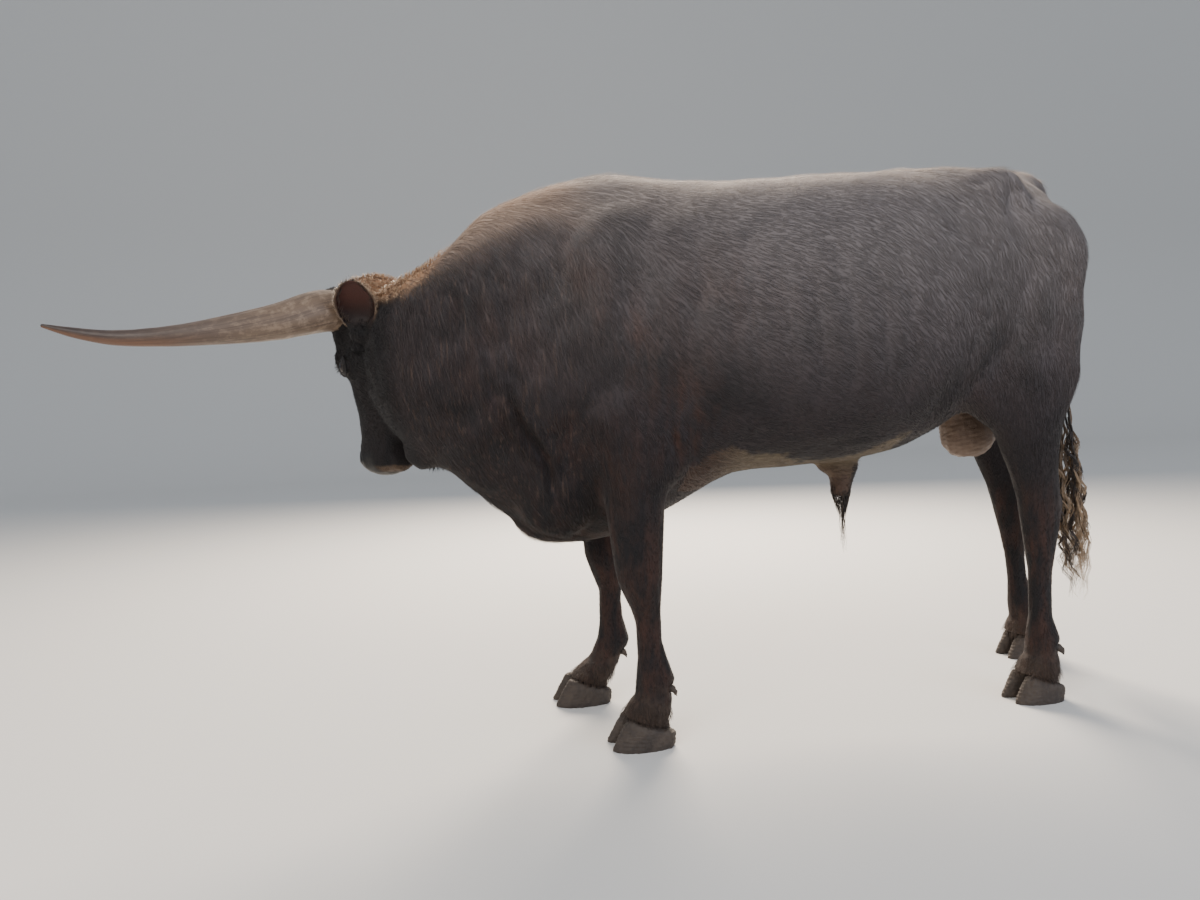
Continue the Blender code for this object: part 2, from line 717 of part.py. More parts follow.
def mouth_cutter(to_world):
    """A thin curved wedge along the lips, from one corner of the mouth round to the other."""
    stations = []
    for k in range(17):
        a = math.radians(-100 + 200 * k / 16)
        along = 0.372 + 0.100 * max(0.0, math.cos(a)) ** 0.7 - 0.012 * max(0.0, -math.cos(a))
        across = 0.066 * math.sin(a)
        deep = -0.098 - 0.012 * (1 - max(0.0, math.cos(a)))
        stations.append(Vector((along, across, deep)))
    rings = []
    for i, point in enumerate(stations):
        ahead = (stations[min(i + 1, 16)] - stations[max(i - 1, 0)]).normalized()
        outward = Vector((0.0, 0.0, 1.0)).cross(ahead).normalized()
        if outward.dot(point - Vector((0.36, 0.0, -0.1))) < 0:
            outward = -outward
        lift = ahead.cross(outward).normalized()
        ring = []
        for k in range(8):
            b = 2 * math.pi * k / 8
            ring.append(to_world @ (point + outward * 0.011 * math.cos(b) + lift * 0.0024 * math.sin(b)))
        rings.append(ring)
    return loft("mouth line", rings)


def foot_centre(kind, side):
    rows = FORELEG if kind == "fore" else HINDLEG
    return Vector((foot_x(kind, side, 0.0, rows[-1].x), -side * STANCE_HALF_WIDTH, 0.0))


def coronet(kind, side, shift=0.0, below=True):
    """The half space under (or over) the slanting top of the hoof."""
    point = foot_centre(kind, side) + Vector((0.0, 0.0, CORONET_MIDDLE))
    down = Vector((-math.sin(CORONET_SLOPE), 0.0, -math.cos(CORONET_SLOPE)))
    return slab("coronet", point, down if below else -down, 0.6, shift)


def claw(kind, side, outer):
    """One claw: a flat sole, a sloping wall and a heel, cut off along the coronet."""
    centre = foot_centre(kind, side)
    away = -side if outer else side
    toe, heel, width = CLAW_TOE[kind], CLAW_HEEL[kind], CLAW_WIDTH[kind]
    turn = Matrix.Rotation(-away * SPLAY, 4, "Z")
    rings = []
    for height, lean, scale in CLAW_RINGS:
        ring = []
        front = toe * lean
        back = heel * (0.94 + 0.06 * min(1.0, height / 0.03)) * scale
        for u, v in (
            (1.00, 0.26), (0.93, 0.10), (0.72, 0.02), (0.30, 0.00), (-0.35, 0.00), (-0.80, 0.06),
            (-1.00, 0.30), (-1.00, 0.62), (-0.78, 0.90), (-0.25, 1.00), (0.30, 0.97), (0.70, 0.78), (0.93, 0.50),
        ):
            along = front * u if u > 0 else back * -u * -1
            across = CLEFT / 2 + width * (0.5 + (v - 0.5) * scale)
            ring.append(centre + turn @ Vector((-along, away * across, height)))
        rings.append(ring)
    made = loft("claw", rings)
    return boolean(made, coronet(kind, side, 0.0, False), "DIFFERENCE")


def dewclaw(kind, side, outer):
    centre = foot_centre(kind, side)
    rows = FORELEG if kind == "fore" else HINDLEG
    row = min(rows, key=lambda r: abs(r.z - DEWCLAW_HEIGHT))
    x = foot_x(kind, side, DEWCLAW_HEIGHT, row.x) + row.half_depth
    away = -side if outer else side
    rings = []
    for back, out, drop, radius in (
        (-0.024, 0.019, 0.012, 0.0085), (-0.012, 0.021, 0.006, 0.0125), (0.002, 0.024, -0.002, 0.0135),
        (0.010, 0.026, -0.013, 0.0090), (0.011, 0.026, -0.020, 0.0030),
    ):
        middle = Vector((x + back, centre.y + away * out, DEWCLAW_HEIGHT + drop))
        rings.append([
            middle + Vector((0.3 * radius * math.sin(a), radius * math.cos(a), radius * math.sin(a)))
            for a in (2 * math.pi * k / 7 for k in range(7))
        ])
    return loft("dewclaw", rings)


def lock(name, points, width, thickness, flat, turn=0.0):
    """One flat tapering lock of hair along a bending path. flat is the way its broad side faces."""
    rows = smooth_rows(points, 1, 3)
    frames = path_frames([row[:3] for row in rows])
    rings = []
    last = len(frames) - 1
    for i, (point, tangent, _, _) in enumerate(frames):
        t = i / last
        facing = (flat - tangent * flat.dot(tangent)).normalized()
        facing.rotate(Matrix.Rotation(turn * t, 3, tangent))
        side = tangent.cross(facing)
        broad = width * (0.55 + 0.45 * math.sin(math.pi * min(1.0, t * 1.4 + 0.12))) * (1 - t**2.2) + 0.0016
        thick = thickness * (1 - t**2) + 0.0012
        rings.append([point + side * broad, point + facing * thick, point - side * broad, point - facing * thick])
    return loft(name, rings)


def tail_switch():
    """The switch: a core round the end of the dock with locks that hang, wave and cross."""
    rng = np.random.default_rng(11)
    core = tube("tail switch", [p for p, _ in SWITCH_CORE], [r for _, r in SWITCH_CORE], 10, 1, False)
    pieces = [core]
    top, low = SWITCH_CORE[0][0][2], SWITCH_CORE[-1][0][2]
    for k in range(SWITCH_LOCKS):
        share = (k + 0.5) / SWITCH_LOCKS
        angle = 2.399963 * k + rng.uniform(-0.2, 0.2)
        start = top - 0.035 - (top - low - 0.05) * share
        tip = SWITCH_TIP_HEIGHT + (start - 0.25 - SWITCH_TIP_HEIGHT) * max(0.0, 0.78 - share * 1.25)
        tip += rng.uniform(0.0, 0.05) if k < SWITCH_LOCKS - 3 else 0.0
        points = []
        for t in (0.0, 0.22, 0.45, 0.70, 1.0):
            z = start + (tip - start) * t
            middle = np.interp(z, [SWITCH_TIP_HEIGHT, 0.52, 0.60, 0.70, 0.79], [1.440, 1.416, 1.408, 1.403, 1.397])
            spread = 0.016 + 0.024 * math.sin(math.pi * min(1.0, t * 1.1)) - 0.008 * t
            wave = 0.012 * math.sin(7.0 * t + k * 1.7) * t
            a = angle + 0.9 * t * math.sin(k * 2.1)
            points.append((
                middle + math.cos(a) * spread + wave,
                -0.021 + math.sin(a) * spread + 0.009 * math.cos(5.0 * t + k) * t,
                z,
            ))
        flat = Vector((math.cos(angle), math.sin(angle), 0.15))
        pieces.append(lock(f"lock {k}", points, rng.uniform(0.011, 0.016), 0.0042, flat, rng.uniform(-0.8, 0.8)))
    return join_all("tail switch", pieces)


def sheath():
    """The hanging sheath with the tuft of hair at its mouth."""
    rings = []
    for x, z, half_depth, half_width, lean in (
        (0.670, 0.735, 0.075, 0.050, 0.0),
        (0.688, 0.680, 0.072, 0.045, 0.0),
        (0.700, 0.640, 0.060, 0.038, 0.1),
        (0.704, 0.605, 0.042, 0.031, 0.2),
        (0.704, 0.572, 0.030, 0.025, 0.2),
        (0.702, 0.550, 0.020, 0.018, 0.2),
    ):
        rings.append([
            Vector((x + half_depth * math.cos(a), half_width * math.sin(a), z + lean * half_depth * math.cos(a)))
            for a in (2 * math.pi * k / 16 for k in range(16))
        ])
    pieces = [loft("sheath", rings)]
    rng = np.random.default_rng(5)
    for k in range(9):
        angle = 2.4 * k
        x0, y0 = 0.702 + 0.013 * math.cos(angle), 0.011 * math.sin(angle)
        drop = rng.uniform(0.075, 0.125)
        points = []
        for t in (0.0, 0.35, 0.7, 1.0):
            points.append((
                x0 + 0.018 * t + 0.008 * math.cos(angle) * t + rng.uniform(-0.002, 0.002),
                y0 + 0.010 * math.sin(angle) * t,
                0.575 - (0.02 + drop) * t,
            ))
        flat = Vector((math.cos(angle), math.sin(angle), 0.1))
        pieces.append(lock(f"sheath lock {k}", points, 0.0075, 0.003, flat, 0.3))
    return join_all("sheath", pieces)


def scrotum():
    rings = []
    for x, z, half_depth, half_width in (
        (1.085, 0.930, 0.050, 0.045),
        (1.090, 0.880, 0.052, 0.046),
        (1.096, 0.830, 0.064, 0.054),
        (1.100, 0.780, 0.079, 0.064),
        (1.102, 0.735, 0.083, 0.068),
        (1.102, 0.695, 0.074, 0.062),
        (1.100, 0.668, 0.052, 0.045),
        (1.100, 0.655, 0.024, 0.022),
    ):
        rings.append([
            Vector((
                x + half_depth * math.cos(a),
                half_width * power(math.sin(a), 0.85) * (1 - 0.10 * (z < 0.8) * abs(math.cos(a)) ** 3), z,
            ))
            for a in (2 * math.pi * k / 18 for k in range(18))
        ])
    return loft("scrotum", rings)


def main():
    clear_scene()
    coat = material("short coat", COAT_BROWN, 0.75)
    horn_stuff = material("horn", HORN_TAN, 0.45)
    hoof_stuff = material("hoof", HOOF_GREY, 0.6)
    bare = material("bare skin", SKIN_TAN, 0.6)
    eye_stuff = material("eye", EYE_DARK, 0.15)
    hair = material("switch hair", SWITCH_BROWN, 0.7)
    to_world = head_matrix()
    sides = {"left": LEFT, "right": RIGHT}

    body = thin_out(body_flesh(), BODY_TRIANGLES)
    head = thin_out(head_flesh(to_world), HEAD_TRIANGLES)
    wedge = head_wedge(to_world)
    boolean(body, grown(wedge, GAP), "DIFFERENCE")
    boolean(head, wedge, "INTERSECT")
    carve_face(head, to_world)

    for word, s in sides.items():
        finish(eye(to_world, s), f"eye_{word}", eye_stuff)
        for make, kind, stuff in ((horn, "horn", horn_stuff), (ear, "ear", coat)):
            piece = make(to_world, s)
            seat(head, piece)
            seat(body, piece)
            finish(piece, f"{kind}_{word}", stuff)
    finish(head, "head", coat)

    tail = tube("tail", [p for p, _ in TAIL], [r for _, r in TAIL], 12, 2, True)
    end = Vector(TAIL[-1][0])
    boolean(tail, slab("cutter", end, (0.0, 0.0, -1.0), 0.6), "DIFFERENCE")
    switch = tail_switch()
    boolean(switch, slab("cutter", end + Vector((0, 0, -GAP)), (0.0, 0.0, 1.0), 0.6), "DIFFERENCE")
    seat(body, tail)
    finish(tail, "tail", coat)
    finish(switch, "tail_switch", hair)

    pouch, bag = sheath(), scrotum()
    seat(body, pouch)
    seat(body, bag)
    finish(pouch, "sheath", bare)
    finish(bag, "scrotum", bare)

    for word, s in sides.items():
        for kind in ("fore", "hind"):
            low, high = sorted((-s * LEG_INNER[kind], -s * 0.55))
            leg = part_by_outline(body, f"{kind}leg_{word}", LEG_OUTLINE[kind], low, high)
            boolean(leg, coronet(kind, s, -GAP), "DIFFERENCE")
            for outer, where in ((True, "outer"), (False, "inner")):
                finish(claw(kind, s, outer), f"{kind}_{word}_claw_{where}", hoof_stuff)
                spur = dewclaw(kind, s, outer)
                seat(leg, spur)
                finish(spur, f"{kind}_{word}_dewclaw_{where}", hoof_stuff)
            finish(leg, f"{kind}leg_{word}", coat)

    neck = part_by_plane(body, "neck", (-0.145, 0.0, 0.99), (-0.96, 0.0, 0.27))
    rump = part_by_plane(body, "rump", (0.930, 0.0, 1.0), (1.0, 0.0, 0.0))
    finish(neck, "neck", coat)
    finish(rump, "rump", coat)
    finish(body, "torso", coat)
    return centre_on_floor()


def centre_on_floor():
    """Moves the whole animal so that the middle of its bounds stands at the origin, on the floor."""
    objects = list(bpy.context.scene.collection.objects)
    points = np.array([v.co for obj in objects for v in obj.data.vertices])
    low, high = points.min(axis=0), points.max(axis=0)
    shift = Vector((-(low[0] + high[0]) / 2, -(low[1] + high[1]) / 2, -low[2]))
    for obj in objects:
        obj.data.transform(Matrix.Translation(shift))
    return shift


LAST_SHIFT = main()
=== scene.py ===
"""A life-size longhorn bull standing at rest: one skin with its coat, horns, hooves and eyes."""
import logging
import math
from collections.abc import Sequence
from dataclasses import dataclass, field
from enum import Enum

import bmesh
import bpy
import numpy as np
from bpy.types import Material, Mesh, Node, NodeSocket, NodeTree, Object
from mathutils import Matrix, Vector
from mathutils.kdtree import KDTree


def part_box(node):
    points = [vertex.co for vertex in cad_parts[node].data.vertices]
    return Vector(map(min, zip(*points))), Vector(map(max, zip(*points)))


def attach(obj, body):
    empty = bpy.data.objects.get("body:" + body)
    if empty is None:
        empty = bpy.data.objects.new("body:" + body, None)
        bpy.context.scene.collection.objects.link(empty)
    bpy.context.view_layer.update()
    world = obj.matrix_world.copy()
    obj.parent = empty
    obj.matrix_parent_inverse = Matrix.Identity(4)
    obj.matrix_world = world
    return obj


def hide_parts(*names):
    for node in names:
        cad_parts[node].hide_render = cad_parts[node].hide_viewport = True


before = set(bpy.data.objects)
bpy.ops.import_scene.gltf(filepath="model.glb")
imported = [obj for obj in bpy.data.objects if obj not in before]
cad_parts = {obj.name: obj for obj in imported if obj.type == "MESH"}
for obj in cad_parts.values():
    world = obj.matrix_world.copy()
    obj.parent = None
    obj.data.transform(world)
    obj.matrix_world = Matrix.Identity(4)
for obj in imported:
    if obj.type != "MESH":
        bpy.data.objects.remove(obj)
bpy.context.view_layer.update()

log = logging.getLogger("longhorn bull")

HEAD_ORIGIN = Vector((-0.560, 0.120, 1.160))
HEAD_YAW = math.radians(52)
HEAD_PITCH = math.radians(88)
EYE_AT = Vector((0.186, 0.100, -0.044))
EYE_RADIUS = 0.0200
BODY = "root"
FLESH = (
    "torso", "rump", "neck", "head", "tail", "sheath", "scrotum", "ear_left", "ear_right",
    "foreleg_left", "foreleg_right", "hindleg_left", "hindleg_right",
)


class Side(Enum):
    """The animal's own left and right, with the sign of the across direction in head coordinates."""

    LEFT = 1
    RIGHT = -1

    @property
    def word(self) -> str:
        """The side as it stands in node names."""
        return self.name.lower()


class Zone(Enum):
    """The stretches of coat, each made as a piece of its own."""

    HEAD = 0
    NECK_LEFT = 1
    NECK_RIGHT = 2
    BARREL_LEFT = 3
    BARREL_RIGHT = 4
    RUMP_LEFT = 5
    RUMP_RIGHT = 6
    LEGS = 7


def hex_colour(code: str) -> tuple[float, float, float, float]:
    """Turns an sRGB hex code into a linear colour.

    Args:
        code: Six hex digits.

    Returns:
        Linear red, green and blue, with an alpha of 1.
    """
    parts = [int(code[i : i + 2], 16) / 255 for i in (0, 2, 4)]
    return (*(c / 12.92 if c <= 0.04045 else ((c + 0.055) / 1.055) ** 2.4 for c in parts), 1.0)


def head_matrix() -> Matrix:
    """The turn and place of head coordinates: down the face, to the animal's left, out of the forehead.

    Returns:
        The matrix from head coordinates to the animal's own.
    """
    flat = Vector((-math.cos(HEAD_YAW), math.sin(HEAD_YAW), 0.0))
    down = flat * math.cos(HEAD_PITCH) + Vector((0, 0, -math.sin(HEAD_PITCH)))
    left = Vector((-math.sin(HEAD_YAW), -math.cos(HEAD_YAW), 0.0))
    turn = Matrix((down, left, down.cross(left))).transposed().to_4x4()
    return Matrix.Translation(HEAD_ORIGIN) @ turn


def model_shift() -> Vector:
    """How far the model lies from the animal's own coordinates, read off the left eye.

    Returns:
        The shift in metres.
    """
    low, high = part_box("eye_left")
    shift = (low + high) / 2 - head_matrix() @ EYE_AT
    return Vector((shift.x, shift.y, 0.0))


SHIFT = model_shift()
TO_HEAD = np.array(head_matrix().inverted())
FROM_HEAD = np.array(head_matrix())


def in_head(own: np.ndarray) -> np.ndarray:
    """Turns points of the animal's own coordinates into head coordinates."""
    return own @ TO_HEAD[:3, :3].T + TO_HEAD[:3, 3]


def from_head(points: np.ndarray) -> np.ndarray:
    """Turns points of head coordinates into the animal's own."""
    return np.asarray(points, float) @ FROM_HEAD[:3, :3].T + FROM_HEAD[:3, 3]


def eye_gap(points: np.ndarray) -> np.ndarray:
    """How far points of head coordinates lie from the middle of the nearer eye."""
    return np.min([np.linalg.norm(points - np.array(EYE_AT) * (1, s.value, 1), axis=1) for s in Side], axis=0)


def ramp(values: np.ndarray, low: float, high: float) -> np.ndarray:
    """A smooth step from 0 at low to 1 at high, either way round."""
    t = np.clip((values - low) / (high - low), 0.0, 1.0)
    return t * t * (3 - 2 * t)


def unit(vectors: np.ndarray) -> np.ndarray:
    """The vectors at length 1."""
    return vectors / np.maximum(np.linalg.norm(vectors, axis=-1, keepdims=True), 1e-9)


def ripple(points: np.ndarray, size: float, seed: int, waves: int = 9) -> np.ndarray:
    """A smooth uneven field made of crossing waves.

    Args:
        points: Where it is read.
        size: The usual length of a wave in metres.
        seed: The seed of its directions.
        waves: How many waves cross.

    Returns:
        Values mostly between -1 and 1.
    """
    rng = np.random.default_rng(seed)
    total = np.zeros(len(points))
    for _ in range(waves):
        way = unit(rng.normal(size=3)) * 2 * math.pi / (size * rng.uniform(0.7, 1.5))
        total += np.sin(points @ way + rng.uniform(0, 2 * math.pi))
    return total / math.sqrt(waves)


def near_path(points: np.ndarray, path: Sequence) -> tuple[np.ndarray, np.ndarray]:
    """How near points lie to a bent line.

    Args:
        points: The points.
        path: The corners of the line.

    Returns:
        Each point's distance, and how far along the line its nearest place is, from 0 to 1.
    """
    path = np.asarray(path, float)
    best, along = np.full(len(points), np.inf), np.zeros(len(points))
    lengths = np.linalg.norm(np.diff(path, axis=0), axis=1)
    done = np.concatenate([[0.0], np.cumsum(lengths)]) / lengths.sum()
    for i, (a, b) in enumerate(zip(path, path[1:])):
        t = np.clip((points - a) @ (b - a) / ((b - a) @ (b - a)), 0.0, 1.0)
        gap = np.linalg.norm(points - a - t[:, None] * (b - a), axis=1)
        closer = gap < best
        best = np.where(closer, gap, best)
        along = np.where(closer, done[i] + t * (done[i + 1] - done[i]), along)
    return best, along


def smooth_rows(rows: Sequence, between: int, leading: int = 3) -> np.ndarray:
    """Rows of numbers with smoothly bent ones between them.

    Args:
        rows: The given rows.
        between: How many steps to make of each gap.
        leading: How many of the first numbers give the spacing.

    Returns:
        All rows, in order.
    """
    rows = np.array(rows, float)
    steps = np.linalg.norm(np.diff(rows[:, :leading], axis=0), axis=1)
    key = np.concatenate([[0.0], np.cumsum(steps)])
    slopes = np.gradient(rows, key, axis=0)
    made = []
    for i, step in enumerate(steps):
        for t in np.arange(between) / between:
            made.append(
                (2 * t**3 - 3 * t**2 + 1) * rows[i]
                + (t**3 - 2 * t**2 + t) * step * slopes[i]
                + (3 * t**2 - 2 * t**3) * rows[i + 1]
                + (t**3 - t**2) * step * slopes[i + 1]
            )
    made.append(rows[-1])
    return np.array(made)


def read_points(mesh: Mesh) -> np.ndarray:
    """The mesh's points as an array.

    Args:
        mesh: The mesh.

    Returns:
        Rows of x, y and z.
    """
    co = np.empty(len(mesh.vertices) * 3)
    mesh.vertices.foreach_get("co", co)
    return co.reshape(-1, 3)


def read_normals(mesh: Mesh) -> np.ndarray:
    """The mesh's point normals as an array."""
    return read_all(mesh.vertex_normals, "vector", 3).astype(float)


def read_all(items: Sequence, key: str, width: int = 1, whole: bool = False) -> np.ndarray:
    """One value of each item of a mesh, such as its faces' areas.

    Args:
        items: The items.
        key: The value's name.
        width: How many numbers it has.
        whole: Whether they are whole numbers.

    Returns:
        The values, in rows where each has more than one number.
    """
    values = np.empty(len(items) * width, np.int32 if whole else np.float32)
    items.foreach_get(key, values)
    return values.reshape(-1, width) if width > 1 else values


def write_points(mesh: Mesh, co: np.ndarray) -> None:
    """Puts an array back as the mesh's points."""
    mesh.vertices.foreach_set("co", np.ascontiguousarray(co, np.float32).ravel())
    mesh.update()


def write_field(
    mesh: Mesh, name: str, values: np.ndarray, kind: str = "FLOAT", domain: str = "POINT"
) -> None:
    """Stores an array as a named attribute of the mesh.

    Args:
        mesh: The mesh.
        name: Its name.
        values: The values.
        kind: Their kind.
        domain: What of the mesh has them.
    """
    key = "vector" if kind in ("FLOAT_VECTOR", "FLOAT2") else "value"
    number = np.int32 if kind == "INT" else np.float32
    attribute = mesh.attributes.new(name, kind, domain)
    attribute.data.foreach_set(key, np.ascontiguousarray(values, number).ravel())


def put_in_scene(name: str, mesh: Mesh, material: Material | None = None) -> Object:
    """An object of a mesh, linked to the scene and shaded smooth.

    Args:
        name: The object's name.
        mesh: Its mesh.
        material: Its finish, if it has one by now.

    Returns:
        The object.
    """
    mesh.name = name
    obj = bpy.data.objects.new(name, mesh)
    bpy.context.scene.collection.objects.link(obj)
    if material is not None:
        mesh.materials.clear()
        mesh.materials.append(material)
    mesh.shade_smooth()
    return obj


def dressed(name: str, mesh: Mesh, finish: Material, slot: str, *nodes: str) -> Object:
    """Puts a finished piece of the animal in the scene.

    Args:
        name: The piece's name.
        mesh: Its mesh, in the model's place.
        finish: Its material.
        slot: Not used.
        *nodes: The nodes that it stands for.

    Returns:
        The piece.
    """
    piece = put_in_scene(name, mesh, finish)
    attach(piece, BODY)
    if nodes:
        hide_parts(*nodes)
    return piece


def evaluated_mesh(obj: Object) -> Mesh:
    """A plain mesh of the object with its modifiers. The object is then removed.

    Args:
        obj: The object.

    Returns:
        The mesh.
    """
    mesh = bpy.data.meshes.new_from_object(obj.evaluated_get(bpy.context.evaluated_depsgraph_get()))
    bpy.data.objects.remove(obj)
    return mesh


def node_copy(names: Sequence[str], grow: float = 0.0, cuts: dict[str, float] | None = None) -> Mesh:
    """One mesh of copies of the model's nodes, each merged and grown a little so that neighbours meet.

    Args:
        names: The nodes.
        grow: How far each surface moves out, in metres.
        cuts: The height that a node ends at, where its lower end is made another way.

    Returns:
        The mesh.
    """
    whole = bmesh.new()
    for name in names:
        part = bmesh.new()
        part.from_mesh(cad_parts[name].data)
        bmesh.ops.remove_doubles(part, verts=part.verts, dist=1e-5)
        if name in (cuts or {}):
            everything = [*part.verts, *part.edges, *part.faces]
            cut = bmesh.ops.bisect_plane(
                part, geom=everything, plane_co=(0, 0, cuts[name]), plane_no=(0, 0, -1), clear_outer=True
            )
            rim = [g for g in cut["geom_cut"] if isinstance(g, bmesh.types.BMEdge)]
            bmesh.ops.contextual_create(part, geom=rim)
        part.normal_update()
        moved = [(v, v.co + v.normal * grow) for v in part.verts]
        for v, place in moved:
            v.co = place
        single = bpy.data.meshes.new(name)
        part.to_mesh(single)
        part.free()
        whole.from_mesh(single)
        bpy.data.meshes.remove(single)
    mesh = bpy.data.meshes.new("copy")
    whole.to_mesh(mesh)
    whole.free()
    return mesh


def merged(singles: Sequence[Mesh], name: str) -> Mesh:
    """Joins closed meshes into one of triangles whose faces point outwards, and removes them.

    Args:
        singles: The meshes.
        name: The new mesh's name.

    Returns:
        The new mesh.
    """
    whole = bmesh.new()
    for single in singles:
        whole.from_mesh(single)
        bpy.data.meshes.remove(single)
    bmesh.ops.recalc_face_normals(whole, faces=whole.faces)
    bmesh.ops.triangulate(whole, faces=whole.faces)
    mesh = bpy.data.meshes.new(name)
    whole.to_mesh(mesh)
    whole.free()
    return mesh


def ring_mesh(rings: np.ndarray, fields: dict[str, np.ndarray] | None = None) -> Mesh:
    """A closed tube through rings of points.

    Args:
        rings: Array of rings by points by 3.
        fields: Named values for each ring and point.

    Returns:
        The mesh.
    """
    count, sides = rings.shape[:2]
    index = np.arange(count * sides).reshape(count, sides)
    low, high = index[:-1], index[1:]
    quads = np.stack([low, np.roll(low, -1, 1), np.roll(high, -1, 1), high], -1).reshape(-1, 4)
    faces = quads.tolist() + [index[0][::-1].tolist(), index[-1].tolist()]
    mesh = bpy.data.meshes.new("tube")
    mesh.from_pydata(rings.reshape(-1, 3).tolist(), [], faces)
    for name, values in (fields or {}).items():
        write_field(mesh, name, values)
    return mesh


class Net:
    """Which points of a mesh its edges join, for smoothing along the surface."""

    def __init__(self, mesh: Mesh) -> None:
        """Reads the edges of a mesh.

        Args:
            mesh: The mesh.
        """
        ends = read_all(mesh.edges, "vertices", 2, True)
        here = np.concatenate([ends[:, 0], ends[:, 1]])
        order = np.argsort(here, kind="stable")
        self.other = np.concatenate([ends[:, 1], ends[:, 0]])[order]
        self.count = np.bincount(here, minlength=len(mesh.vertices))
        self.start = np.concatenate([[0], np.cumsum(self.count)[:-1]])

    def mean(self, values: np.ndarray) -> np.ndarray:
        """The mean of each point's neighbours."""
        return np.add.reduceat(values[self.other], self.start, axis=0) / self.count[:, None]

    def relax(self, values: np.ndarray, pace: np.ndarray, rounds: int) -> None:
        """Moves the values towards their neighbours' mean, each at its own pace.

        Args:
            values: The points, which change in place.
            pace: How much of the way each goes in a round.
            rounds: How often.
        """
        chosen = pace > 0.005
        other, count = self.other[np.repeat(chosen, self.count)], self.count[chosen]
        start, share = np.concatenate([[0], np.cumsum(count)[:-1]]), pace[chosen, None]
        for _ in range(rounds):
            mean = np.add.reduceat(values[other], start, axis=0) / count[:, None]
            values[chosen] += share * (mean - values[chosen])

    def largest(self) -> np.ndarray:
        """Which points belong to the largest connected surface.

        Returns:
            Yes or no for each point.
        """
        label = np.arange(len(self.count))
        while True:
            new = np.minimum(label, np.minimum.reduceat(label[self.other], self.start))
            new = new[new]
            if (new == label).all():
                break
            label = new
        return label == np.bincount(label).argmax()


@dataclass(frozen=True)
class Fold:
    """A crease in the skin, or a ridge where its depth is negative. Sizes are in metres."""

    path: tuple
    depth: float
    width: float
    lips: float = 0.3
    on_head: bool = False
    both_sides: bool = True

    def press(self, own: np.ndarray) -> np.ndarray:
        """How far it moves each point inwards.

        Args:
            own: Points in the animal's own coordinates.

        Returns:
            The distances, negative where the skin rises.
        """
        points = in_head(own) if self.on_head else own
        total = np.zeros(len(own))
        for sign in (1, -1) if self.both_sides else (1,):
            path = np.array(self.path, float) * (1, sign, 1)
            reach = 4.5 * self.width
            low, high = path.min(0) - reach, path.max(0) + reach
            near = np.nonzero(((points > low) & (points < high)).all(1))[0]
            if not len(near):
                continue
            gap, along = near_path(points[near], path)
            fade = np.sin(math.pi * np.clip(along, 0.02, 0.98)) ** 0.5
            groove = np.exp(-((gap / self.width) ** 2))
            rim = np.exp(-(((gap - 2.1 * self.width) / (0.9 * self.width)) ** 2))
            total[near] += fade * (groove - self.lips * rim) * self.depth
        return total


